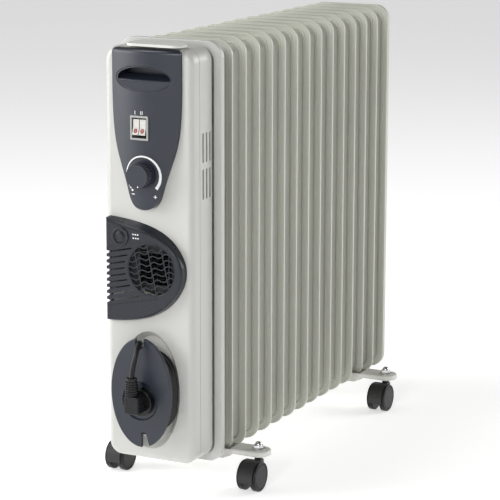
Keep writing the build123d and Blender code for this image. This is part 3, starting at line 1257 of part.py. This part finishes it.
def caster_hood(x, y):
    """A caster's hood: fender over both wheels, middle web, axle and upright stem."""
    axle_y = y - CASTER_TRAIL
    axle_half_length = WHEEL_OFFSET + WHEEL_WIDTH / 2 - WHEEL_CAP - 0.3
    with BuildPart() as hood:
        with BuildSketch(Plane.YZ.offset(x - HOOD_HALF_WIDTH)):
            with Locations((axle_y, WHEEL_RADIUS)):
                Circle(HOOD_RADIUS)
                Circle(HOOD_RADIUS - HOOD_SHELL, mode=Mode.SUBTRACT)
            with Locations((axle_y, HOOD_LOW_Z - HOOD_RADIUS)):
                Rectangle(3 * HOOD_RADIUS, 2 * HOOD_RADIUS, mode=Mode.SUBTRACT)
        extrude(amount=2 * HOOD_HALF_WIDTH)
        with BuildSketch(Plane.YZ.offset(x - HOOD_WEB)):
            with Locations((axle_y, WHEEL_RADIUS)):
                Circle(HOOD_RADIUS)
            with BuildLine():
                Polyline((axle_y, HOOD_LOW_Z), (y, HOOD_LOW_Z + 6), (y + STEM_RADIUS, STEM_COLLAR_BOTTOM),
                         (y + STEM_RADIUS, STEM_COLLAR_BOTTOM + 9), (axle_y, STEM_COLLAR_BOTTOM + 9), close=True)
            make_face()
            with Locations((axle_y, HOOD_LOW_Z - HOOD_RADIUS)):
                Rectangle(3 * HOOD_RADIUS, 2 * HOOD_RADIUS, mode=Mode.SUBTRACT)
        extrude(amount=2 * HOOD_WEB)
        with BuildSketch(Plane.XY.offset(STEM_COLLAR_BOTTOM)):
            with Locations((x, y)):
                Circle(STEM_RADIUS)
        extrude(amount=STEM_SEAT_TOP - STEM_COLLAR_BOTTOM)
        with BuildSketch(Plane.XY.offset(STEM_SEAT_TOP)):
            with Locations((x, y)):
                Circle(STEM_THREAD_RADIUS)
        extrude(amount=STEM_TOP - STEM_SEAT_TOP)
        with BuildSketch(Plane.YZ.offset(x - axle_half_length)):
            with Locations((axle_y, WHEEL_RADIUS)):
                Circle(AXLE_RADIUS)
        extrude(amount=2 * axle_half_length)
    return hood


def caster_wheel(x, y, side):
    """One of a caster's two wheels, with a groove inside its tread and a blind axle hole."""
    axle_y = y - CASTER_TRAIL
    middle_x = x + side * WHEEL_OFFSET
    outer_plane = Plane(origin=(middle_x + side * WHEEL_WIDTH / 2, axle_y, WHEEL_RADIUS),
                        x_dir=(0, 1, 0), z_dir=(side, 0, 0))
    with BuildPart() as wheel:
        with BuildSketch(outer_plane):
            Circle(WHEEL_RADIUS)
        extrude(amount=-WHEEL_WIDTH)
        fillet(wheel.edges(), 1.6)
        with BuildSketch(outer_plane):
            Circle(WHEEL_RADIUS - TREAD_HEIGHT)
            Circle(WHEEL_RADIUS - TREAD_HEIGHT - GROOVE_WIDTH, mode=Mode.SUBTRACT)
        extrude(amount=-GROOVE_DEPTH, mode=Mode.SUBTRACT)
        with BuildSketch(outer_plane.offset(-WHEEL_WIDTH)):
            Circle(AXLE_RADIUS + RUNNING_FIT)
        extrude(amount=WHEEL_WIDTH - WHEEL_CAP, mode=Mode.SUBTRACT)
    return wheel


caster_names = ("front_left", "front_right", "rear_left", "rear_right")
for caster_name, (x, y) in zip(caster_names, caster_places):
    save(caster_hood(x, y), caster_name + "_hood")
    save(caster_wheel(x, y, -1), caster_name + "_wheel_a")
    save(caster_wheel(x, y, 1), caster_name + "_wheel_b")
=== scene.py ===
import json
import math

import bpy
from mathutils import Matrix, Vector
from mathutils.bvhtree import BVHTree


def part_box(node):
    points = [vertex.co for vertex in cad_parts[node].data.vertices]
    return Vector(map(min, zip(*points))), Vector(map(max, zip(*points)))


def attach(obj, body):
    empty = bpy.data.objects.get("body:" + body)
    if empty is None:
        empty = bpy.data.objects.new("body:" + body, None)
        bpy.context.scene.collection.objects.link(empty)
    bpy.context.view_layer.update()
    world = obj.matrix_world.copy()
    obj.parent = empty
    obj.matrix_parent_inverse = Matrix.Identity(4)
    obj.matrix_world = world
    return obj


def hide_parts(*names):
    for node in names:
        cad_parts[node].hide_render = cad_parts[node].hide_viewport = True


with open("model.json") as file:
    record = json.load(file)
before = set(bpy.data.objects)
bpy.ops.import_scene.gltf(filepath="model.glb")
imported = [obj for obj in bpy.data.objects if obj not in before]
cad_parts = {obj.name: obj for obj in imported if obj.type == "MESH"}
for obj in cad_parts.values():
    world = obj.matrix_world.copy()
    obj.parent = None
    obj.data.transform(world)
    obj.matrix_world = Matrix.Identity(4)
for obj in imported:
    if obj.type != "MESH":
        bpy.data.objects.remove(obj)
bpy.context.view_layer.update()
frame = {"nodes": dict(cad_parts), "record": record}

# Places and sizes are in metres, angles in degrees. FACE_Y is the control housing's front face.
FACE_Y = -0.3099
BODY = "body"

# ---------------------------------------------------------------- camera
CAMERA_PLACE = (1.392, -2.745, 0.953)
CAMERA_AZIMUTH = 27.0
CAMERA_ELEVATION = 12.17
CAMERA_ROLL = 0.11
CAMERA_LENS = 154.7
CAMERA_REACH = 30.0
SENSOR_WIDTH = 36.0


def camera_rotation(azimuth, elevation, roll):
    """The camera looks back along the given azimuth and elevation, level but for a small roll."""
    a, e = math.radians(azimuth), math.radians(elevation)
    back = Vector((math.sin(a) * math.cos(e), -math.cos(a) * math.cos(e), math.sin(e)))
    turn = back.to_track_quat("Z", "Y").to_matrix()
    return turn @ Matrix.Rotation(math.radians(roll), 3, "Z")


def make_camera():
    """The camera at the heater's three-quarter view."""
    data = bpy.data.cameras.new("camera")
    data.lens = CAMERA_LENS
    data.sensor_width = SENSOR_WIDTH
    data.clip_end = CAMERA_REACH
    camera = bpy.data.objects.new("camera", data)
    turn = camera_rotation(CAMERA_AZIMUTH, CAMERA_ELEVATION, CAMERA_ROLL)
    camera.matrix_world = Matrix.Translation(CAMERA_PLACE) @ turn.to_4x4()
    bpy.context.collection.objects.link(camera)
    bpy.context.scene.camera = camera


make_camera()


# ---------------------------------------------------------------- the cord
CORD_DIAMETER = 0.007
CORD_ROUNDNESS = 6
CORD_SMOOTHNESS = 8
COIL_CENTRE_Z = 0.157
COIL_HALF_STRAIGHT = 0.016
OUTER_TURN_RADIUS = 0.0405
INNER_TURN_RADIUS = 0.0335
COIL_ROWS_Y = (FACE_Y - 0.0032, FACE_Y - 0.0102, FACE_Y - 0.0172)
GLAND_ANGLE = 348.0
TAIL_ANGLE = 135.0
TURN_POINTS = 16
# the share of a turn in which the cord moves on to the next turn's radius and row
CHANGE_SHARE = 0.2
# each turn's radius and depth row, from the gland out to the tail
TURNS = (
    (INNER_TURN_RADIUS, 0), (INNER_TURN_RADIUS, 1),
    (OUTER_TURN_RADIUS, 0), (OUTER_TURN_RADIUS, 1), (OUTER_TURN_RADIUS, 2),
)
TAIL_ROUTE = (
    (-0.0286, FACE_Y - 0.0172, 0.2016),
    (-0.0145, FACE_Y - 0.0172, 0.2148),
    (-0.0024, FACE_Y - 0.0180, 0.2234),
    (0.0006, FACE_Y - 0.0294, 0.2284),
    (0.0022, FACE_Y - 0.0370, 0.2230),
    (0.0020, FACE_Y - 0.0426, 0.2110),
    (0.0002, FACE_Y - 0.0464, 0.1975),
    (-0.0006, FACE_Y - 0.0485, 0.1835),
)


def coil_point(angle, radius, y):
    """A point of a stadium turn, its angle anticlockwise from +X as seen from the front."""
    a = math.radians(angle)
    swell = 1 / math.cos(math.pi / TURN_POINTS)
    x = radius * swell * math.cos(a)
    end_centre_z = COIL_CENTRE_Z + math.copysign(COIL_HALF_STRAIGHT, math.sin(a))
    z = end_centre_z + radius * swell * math.sin(a)
    return (x, y, z)


def coil_route():
    """Clockwise turns from the gland's side round to where the tail leaves."""
    points = []
    step = 360.0 / TURN_POINTS
    angle = GLAND_ANGLE + 360.0 * (len(TURNS) - 1)
    while angle > TAIL_ANGLE + step / 2:
        turns_left = (angle - TAIL_ANGLE) / 360.0
        turn = len(TURNS) - 1 - int(turns_left)
        share = min(1.0, (1.0 - turns_left % 1.0) / CHANGE_SHARE)
        radius, row = TURNS[turn]
        last_radius, last_row = TURNS[max(turn - 1, 0)]
        r = last_radius + (radius - last_radius) * share
        y = COIL_ROWS_Y[last_row] + (COIL_ROWS_Y[row] - COIL_ROWS_Y[last_row]) * share
        points.append(coil_point(angle, r, y))
        angle -= step
    return points


def make_cord():
    """The cord as one smooth line: its turns, then its free end down to the plug."""
    route = coil_route() + list(TAIL_ROUTE)
    curve = bpy.data.curves.new("mains_cord", "CURVE")
    curve.dimensions = "3D"
    curve.bevel_depth = 1.0
    curve.bevel_resolution = CORD_ROUNDNESS
    curve.resolution_u = CORD_SMOOTHNESS
    curve.use_fill_caps = True
    spline = curve.splines.new("NURBS")
    spline.points.add(len(route) - 1)
    for point, place in zip(spline.points, route):
        point.co = (*place, 1.0)
        point.radius = CORD_DIAMETER / 2
    spline.order_u = 3
    spline.use_endpoint_u = True
    cord = bpy.data.objects.new("mains_cord", curve)
    bpy.context.collection.objects.link(cord)
    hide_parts("cord_coil", "cord_tail")
    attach(cord, BODY)
    return cord


cord = make_cord()


# ---------------------------------------------------------------- materials
NOISE_LOW = 0.3
NOISE_HIGH = 0.7
GLOSS_DRIFT = 0.08
GLOSS_SCALE = 5
GRAIN_DEPTH = 0.0003
RIPPLE_DEPTH = 0.001
COAT_ROUGHNESS = 0.12


def node(tree, kind, **values):
    """A new shader node with some of its inputs set."""
    made = tree.nodes.new(kind)
    for name, value in values.items():
        made.inputs[name].default_value = value
    return made


def noise(tree, place, scale, detail):
    """A noise texture over the piece's own space."""
    made = node(tree, "ShaderNodeTexNoise", Scale=scale, Detail=detail)
    tree.links.new(place.outputs["Object"], made.inputs["Vector"])
    return made


def two_tone(tree, factor, low, low_color, high, high_color):
    """A ramp from one colour to another, driven by a node's output."""
    ramp = node(tree, "ShaderNodeValToRGB")
    stops = zip(ramp.color_ramp.elements, (low, high), (low_color, high_color))
    for element, position, color in stops:
        element.position = position
        element.color = (*color, 1)
    tree.links.new(factor, ramp.inputs["Fac"])
    return ramp


def surface(name, color, roughness, metallic=0.0, drift=0.06, drift_scale=6.0, grain_scale=900.0,
            grain=0.05, ripple_scale=0.0, ripple=0.0, coat=0.0, specular=0.5, glow=0.0):
    """A procedural finish: colour drift, fine grain and slow ripple in the bump, uneven gloss."""
    made = bpy.data.materials.new(name)
    made.use_nodes = True
    tree = made.node_tree
    shader = tree.nodes["Principled BSDF"]
    shader.inputs["Metallic"].default_value = metallic
    shader.inputs["Specular IOR Level"].default_value = specular
    shader.inputs["Coat Weight"].default_value = coat
    shader.inputs["Coat Roughness"].default_value = COAT_ROUGHNESS
    if glow:
        shader.inputs["Emission Color"].default_value = (1, 1, 1, 1)
        shader.inputs["Emission Strength"].default_value = glow
    place = node(tree, "ShaderNodeTexCoord")

    slow = noise(tree, place, drift_scale, 3.0)
    darker = [channel * (1 - drift) for channel in color]
    lighter = [min(1, channel * (1 + drift)) for channel in color]
    tones = two_tone(tree, slow.outputs["Fac"], NOISE_LOW, darker, NOISE_HIGH, lighter)
    tree.links.new(tones.outputs["Color"], shader.inputs["Base Color"])

    uneven = noise(tree, place, drift_scale * GLOSS_SCALE, 4.0)
    gloss = node(tree, "ShaderNodeMapRange")
    gloss.inputs["From Min"].default_value = NOISE_LOW
    gloss.inputs["From Max"].default_value = NOISE_HIGH
    gloss.inputs["To Min"].default_value = roughness * (1 - GLOSS_DRIFT)
    gloss.inputs["To Max"].default_value = roughness * (1 + GLOSS_DRIFT)
    tree.links.new(uneven.outputs["Fac"], gloss.inputs["Value"])
    tree.links.new(gloss.outputs["Result"], shader.inputs["Roughness"])

    fine = noise(tree, place, grain_scale, 2.0)
    bump = node(tree, "ShaderNodeBump", Strength=grain, Distance=GRAIN_DEPTH)
    tree.links.new(fine.outputs["Fac"], bump.inputs["Height"])
    if ripple:
        wave = noise(tree, place, ripple_scale, 1.0)
        slow_bump = node(tree, "ShaderNodeBump", Strength=ripple, Distance=RIPPLE_DEPTH)
        tree.links.new(wave.outputs["Fac"], slow_bump.inputs["Height"])
        tree.links.new(bump.outputs["Normal"], slow_bump.inputs["Normal"])
        bump = slow_bump
    tree.links.new(bump.outputs["Normal"], shader.inputs["Normal"])
    return made


MATERIAL_OF_SLOT = {
    "fin_enamel": surface("fin_enamel", (0.50, 0.505, 0.445), 0.32, drift=0.025, grain_scale=500,
                          grain=0.06, ripple_scale=60, ripple=0.05, coat=0.3),
    "housing_enamel": surface("housing_enamel", (0.50, 0.50, 0.475), 0.36, drift=0.02,
                              grain_scale=700, grain=0.08, ripple_scale=50, ripple=0.03, coat=0.2),
    "foot_enamel": surface("foot_enamel", (0.66, 0.655, 0.62), 0.35, drift=0.03, grain_scale=500,
                           grain=0.06),
    "panel_plastic": surface("panel_plastic", (0.016, 0.0205, 0.031), 0.34, drift=0.05,
                             grain_scale=1600, grain=0.25),
    "cover_plastic": surface("cover_plastic", (0.014, 0.0165, 0.023), 0.28, drift=0.05,
                             grain_scale=1600, grain=0.25, specular=0.35),
    # real black plastic for most pieces; on the fan frame's tray behind the louvre slots it is
    # painted shade, a dark sheet so the slots read dark
    "black_plastic": surface("black_plastic", (0.012, 0.012, 0.013), 0.5, drift=0.1,
                             grain_scale=1200, grain=0.2),
    "trim_plastic": surface("trim_plastic", (0.60, 0.60, 0.57), 0.45, drift=0.03, grain_scale=1400,
                            grain=0.2),
    "switch_silver": surface("switch_silver", (0.36, 0.36, 0.35), 0.3, metallic=0.4, drift=0.03,
                             grain=0.1),
    "rocker_plastic": surface("rocker_plastic", (0.56, 0.55, 0.52), 0.2, drift=0.02, grain=0.04),
    "cord_sheath": surface("cord_sheath", (0.004, 0.004, 0.005), 0.30, drift=0.15, drift_scale=40,
                           grain_scale=1500, grain=0.3, specular=0.35),
    "plug_plastic": surface("plug_rubber", (0.004, 0.004, 0.005), 0.28, drift=0.1,
                            grain_scale=1300, grain=0.3, specular=0.35),
    "plated_steel": surface("plated_steel", (0.55, 0.55, 0.54), 0.3, metallic=1.0, drift=0.08,
                            drift_scale=60, grain_scale=1200, grain=0.1),
    "chrome_nut": surface("bright_nut", (0.62, 0.62, 0.63), 0.16, metallic=1.0, drift=0.04,
                          grain=0.03),
    "heater_tube": surface("heater_tube", (0.25, 0.24, 0.23), 0.4, metallic=1.0, drift=0.15,
                           drift_scale=50),
    # painted shade: the heater's aluminium grid is coloured near black so the space behind the fan
    # grille reads dark, as shade inside the cover
    "heater_fins": surface("heater_grid_painted_shade", (0.004, 0.004, 0.004), 0.7, drift=0.1, specular=0.1),
    "pin_metal": surface("pin_metal", (0.66, 0.60, 0.42), 0.25, metallic=1.0, drift=0.05),
    "oil": surface("thermal_oil", (0.62, 0.42, 0.12), 0.08, drift=0.04),
    "caster_plastic": surface("caster_plastic", (0.015, 0.015, 0.016), 0.42, drift=0.1,
                              grain_scale=1200, grain=0.2),
    "wheel_plastic": surface("wheel_plastic", (0.010, 0.0105, 0.0115), 0.34, drift=0.12,
                             drift_scale=30, grain_scale=1000, grain=0.25, specular=0.25),
}


def dress_nodes():
    """Every CAD node gets the finish of its material slot."""
    for part in frame["record"]["subparts"]:
        mesh = frame["nodes"][part["node"]].data
        mesh.materials.clear()
        mesh.materials.append(MATERIAL_OF_SLOT[part["material_slot"]])


dress_nodes()
cord.data.materials.append(MATERIAL_OF_SLOT["cord_sheath"])


# ---------------------------------------------------------------- printed marks
INK_RISE = 0.00016
INK_ROOT = 0.00006
PROBE_LEAD = 0.05
RING_STEPS = 24
DOT_STEPS = 20


def surface_of(node_name):
    """A finder of a node's front surface at a place (x, z), seen from the control end."""
    mesh = frame["nodes"][node_name].data
    corners = [vertex.co.copy() for vertex in mesh.vertices]
    tree = BVHTree.FromPolygons(corners, [list(face.vertices) for face in mesh.polygons])
    start_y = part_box(node_name)[0][1] - PROBE_LEAD

    def front_y(x, z):
        hit = tree.ray_cast(Vector((x, start_y, z)), Vector((0, 1, 0)))[0]
        return hit.y

    return front_y


def printed(name, loops, faces, front_y, body, material):
    """A thin inked solid over a surface: places (x, z) on its front and sunk copies behind them."""
    fronts = [(x, front_y(x, z) - INK_RISE, z) for x, z in loops]
    backs = [(x, y + INK_RISE + INK_ROOT, z) for x, y, z in fronts]
    count = len(loops)
    edges = [edge for face in faces for edge in zip(face, face[1:] + face[:1])]
    rims = [(start, end) for start, end in edges if (end, start) not in edges]
    solid = [tuple(face) for face in faces]
    solid += [tuple(count + corner for corner in reversed(face)) for face in faces]
    solid += [(end, start, count + start, count + end) for start, end in rims]
    mesh = bpy.data.meshes.new(name)
    mesh.from_pydata(fronts + backs, [], solid)
    mesh.materials.append(material)
    mark = bpy.data.objects.new(name, mesh)
    bpy.context.collection.objects.link(mark)
    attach(mark, body)


def printed_line(name, places, widths, front_y, body, material, closed=False):
    """A printed line along places (x, z), its width given at each place."""
    loops = []
    last = len(places) - 1
    for index, (x, z) in enumerate(places):
        before = places[index - 1] if index or closed else places[0]
        after = places[(index + 1) % len(places)] if index < last or closed else places[last]
        along = Vector((after[0] - before[0], after[1] - before[1])).normalized()
        half = widths[index] / 2
        loops.append((x - along.y * half, z + along.x * half))
        loops.append((x + along.y * half, z - along.x * half))
    faces = []
    steps = len(places) if closed else last
    for index in range(steps):
        left, right = 2 * index, 2 * index + 1
        next_left, next_right = (2 * index + 2) % len(loops), (2 * index + 3) % len(loops)
        faces.append([left, right, next_right, next_left])
    printed(name, loops, faces, front_y, body, material)


def arc_places(centre, radius, start, end, steps):
    """Places on an arc, angles in degrees anticlockwise from +X as seen from the front."""
    places = []
    for step in range(steps + 1):
        a = math.radians(start + (end - start) * step / steps)
        places.append((centre[0] + radius * math.cos(a), centre[1] + radius * math.sin(a)))
    return places


def printed_ring(name, centre, radius, width, front_y, body, material):
    """A printed ring."""
    places = arc_places(centre, radius, 0, 360, RING_STEPS)[:-1]
    printed_line(name, places, [width] * len(places), front_y, body, material, closed=True)


def printed_dot(name, centre, radius, front_y, body, material):
    """A printed round dot."""
    places = arc_places(centre, radius, 0, 360, DOT_STEPS)[:-1]
    printed(name, places, [list(range(len(places)))], front_y, body, material)


def ink(name, color):
    """Printed ink, a little uneven."""
    return surface(name, color, 0.45, drift=0.04, drift_scale=200, grain_scale=2500, grain=0.15)


WHITE_INK = ink("white_ink", (0.78, 0.78, 0.78))
RED_INK = ink("red_ink", (0.24, 0.006, 0.010))

SWITCH_MARK_Z = 0.5345
SWITCH_MARK_HEIGHT = 0.0048
SWITCH_MARK_WIDTH = 0.0009
SWITCH_STROKES_X = {"mark_one": (-0.0118,), "mark_two": (-0.0028, -0.0005)}

SCALE_CENTRE = (-0.0008, 0.4512)
SCALE_RADIUS = 0.0257
SCALE_START = 226.0
SCALE_END = -40.0
SCALE_STEPS = 60
SCALE_THIN = 0.0011
SCALE_THICK = 0.0042
# how late along the arc it thickens
SCALE_SWELL = 1.6
COLD_DOT_RADIUS = 0.0014
COLD_DOT_ARC_RADIUS = 0.0261
COLD_DOT_ANGLE = 232.0
MINUS_OFFSET = (0.0012, -0.0052)
PLUS_SHIFT_X = 0.0008
PLUS_DROP = 0.0016
SIGN_REACH = 0.0024
SIGN_STROKE = 0.0010

ROCKER_MARK_HEIGHT = 0.0060
ROCKER_RING_RADIUS = 0.0021
ROCKER_RING_WIDTH = 0.0015
ROCKER_BAR_REACH = 0.0010
ROCKER_BAR_WIDTH = 0.0012

DASH_ROWS_Z = (0.3705, 0.3655)
DASH_COUNT = 3
DASH_START_X = -0.0180
DASH_PITCH = 0.0036
DASH_ROW_SHIFT = 0.0006
DASH_LENGTH = 0.0022
DASH_WIDTH = 0.0015
DASH_TILT = 0.0001

POINTER_PLACE = (0.0020, 0.4390)
POINTER_RADIUS = 0.0009


def print_switch_marks(front_y):
    """One stroke over the first rocker and two over the second."""
    foot = SWITCH_MARK_Z - SWITCH_MARK_HEIGHT / 2
    head = SWITCH_MARK_Z + SWITCH_MARK_HEIGHT / 2
    for name, strokes in SWITCH_STROKES_X.items():
        for index, x in enumerate(strokes):
            printed_line(f"{name}_{index + 1}", [(x, foot), (x, head)], [SWITCH_MARK_WIDTH] * 2,
                         front_y, BODY, WHITE_INK)


def print_scale(front_y):
    """The thermostat's scale: an arc that thickens towards hot, a dot at cold, minus and plus."""
    places = arc_places(SCALE_CENTRE, SCALE_RADIUS, SCALE_START, SCALE_END, SCALE_STEPS)
    widths = []
    for step in range(SCALE_STEPS + 1):
        widths.append(SCALE_THIN + (SCALE_THICK - SCALE_THIN) * (step / SCALE_STEPS) ** SCALE_SWELL)
    printed_line("scale_arc", places, widths, front_y, BODY, WHITE_INK)
    cold = arc_places(SCALE_CENTRE, COLD_DOT_ARC_RADIUS, COLD_DOT_ANGLE, COLD_DOT_ANGLE, 1)[0]
    printed_dot("scale_dot", cold, COLD_DOT_RADIUS, front_y, BODY, WHITE_INK)
    low = (cold[0] + MINUS_OFFSET[0], cold[1] + MINUS_OFFSET[1])
    high = (PLUS_SHIFT_X - cold[0], low[1] - PLUS_DROP)
    for name, (x, z) in (("scale_minus", low), ("scale_plus", high)):
        printed_line(name, [(x - SIGN_REACH, z), (x + SIGN_REACH, z)], [SIGN_STROKE] * 2,
                     front_y, BODY, WHITE_INK)
    x, z = high
    arms = {"scale_plus_up": (SIGN_STROKE / 2, SIGN_REACH),
            "scale_plus_down": (-SIGN_REACH, -SIGN_STROKE / 2)}
    for name, (start, end) in arms.items():
        printed_line(name, [(x, z + start), (x, z + end)], [SIGN_STROKE] * 2,
                     front_y, BODY, WHITE_INK)


def print_rocker_marks():
    """A ring with a short bar in it near the pressed end of each rocker."""
    for rocker in ("rocker_1", "rocker_2"):
        low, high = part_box(rocker)
        x, z = (low[0] + high[0]) / 2, low[2] + ROCKER_MARK_HEIGHT
        front_y = surface_of(rocker)
        printed_ring(rocker + "_ring", (x, z), ROCKER_RING_RADIUS, ROCKER_RING_WIDTH,
                     front_y, rocker, RED_INK)
        printed_line(rocker + "_bar", [(x - ROCKER_BAR_REACH, z), (x + ROCKER_BAR_REACH, z)],
                     [ROCKER_BAR_WIDTH] * 2, front_y, rocker, RED_INK)


def print_fan_mark():
    """Two rows of short dashes beside the fan's button, for warm air."""
    front_y = surface_of("fan_cover")
    for row, z in enumerate(DASH_ROWS_Z):
        for column in range(DASH_COUNT):
            x = DASH_START_X + column * DASH_PITCH + row * DASH_ROW_SHIFT
            printed_line(f"warm_dash_{row + 1}_{column + 1}",
                         [(x, z - DASH_TILT * column), (x + DASH_LENGTH, z)], [DASH_WIDTH] * 2,
                         front_y, BODY, WHITE_INK)


panel_front_y = surface_of("control_panel")
print_switch_marks(panel_front_y)
print_scale(panel_front_y)
print_rocker_marks()
print_fan_mark()
printed_dot("knob_pointer", POINTER_PLACE, POINTER_RADIUS, surface_of("thermostat_knob"),
            "thermostat_knob", WHITE_INK)


# ---------------------------------------------------------------- studio
FLOOR_GLOW = 0.50
FLOOR_HALF = 12.0
# the surround's grey at the horizon and above, fading between the two heights (1 is straight up)
HORIZON_TONE = 0.62
HORIZON_TOP = 0.08
SKY_TONE = 0.14
SKY_START = 0.5
# each lamp's name, place, aim, size and watts
LAMPS = (
    ("left_softbox", (-2.7, -1.75, 1.3), (0, -0.25, 0.35), 2.2, 80.0),
    ("front_softbox", (0.65, -3.2, 1.5), (0, -0.1, 0.3), 0.8, 31.0),
    ("top_softbox", (-1.0, -0.85, 2.7), (0, -0.3, 0.6), 1.0, 22.0),
    ("right_softbox", (2.3, 2.3, 1.4), (0, 0.1, 0.3), 1.8, 50.0),
)


def make_floor():
    """A wide pale floor, lit a little from below like a studio table."""
    half = FLOOR_HALF
    mesh = bpy.data.meshes.new("floor")
    corners = [(-half, -half, 0), (half, -half, 0), (half, half, 0), (-half, half, 0)]
    mesh.from_pydata(corners, [], [(0, 1, 2, 3)])
    floor = bpy.data.objects.new("floor", mesh)
    bpy.context.collection.objects.link(floor)
    mesh.materials.append(surface("floor_paper", (0.90, 0.90, 0.90), 0.8, drift=0.01, drift_scale=2,
                                  grain=0.02, glow=FLOOR_GLOW))


def make_light(name, place, aim, size, power):
    """A soft square light pointed at a place."""
    data = bpy.data.lights.new(name, "AREA")
    data.shape = "SQUARE"
    data.size = size
    data.energy = power
    lamp = bpy.data.objects.new(name, data)
    away = Vector(place) - Vector(aim)
    turn = away.to_track_quat("Z", "Y").to_matrix()
    lamp.matrix_world = Matrix.Translation(place) @ turn.to_4x4()
    bpy.context.collection.objects.link(lamp)


def make_world():
    """A dim even surround that brightens to the floor's tone at the horizon."""
    world = bpy.data.worlds.new("surround")
    world.use_nodes = True
    tree = world.node_tree
    direction = node(tree, "ShaderNodeTexCoord")
    height = node(tree, "ShaderNodeSeparateXYZ")
    tree.links.new(direction.outputs["Generated"], height.inputs["Vector"])
    greys = two_tone(tree, height.outputs["Z"], HORIZON_TOP, [HORIZON_TONE] * 3,
                     SKY_START, [SKY_TONE] * 3)
    tree.links.new(greys.outputs["Color"], tree.nodes["Background"].inputs["Color"])
    bpy.context.scene.world = world


make_floor()
make_world()
for lamp_name, lamp_place, lamp_aim, lamp_size, lamp_power in LAMPS:
    make_light(lamp_name, lamp_place, lamp_aim, lamp_size, lamp_power)
bpy.context.scene.view_settings.view_transform = "Standard"

bpy.context.view_layer.update()
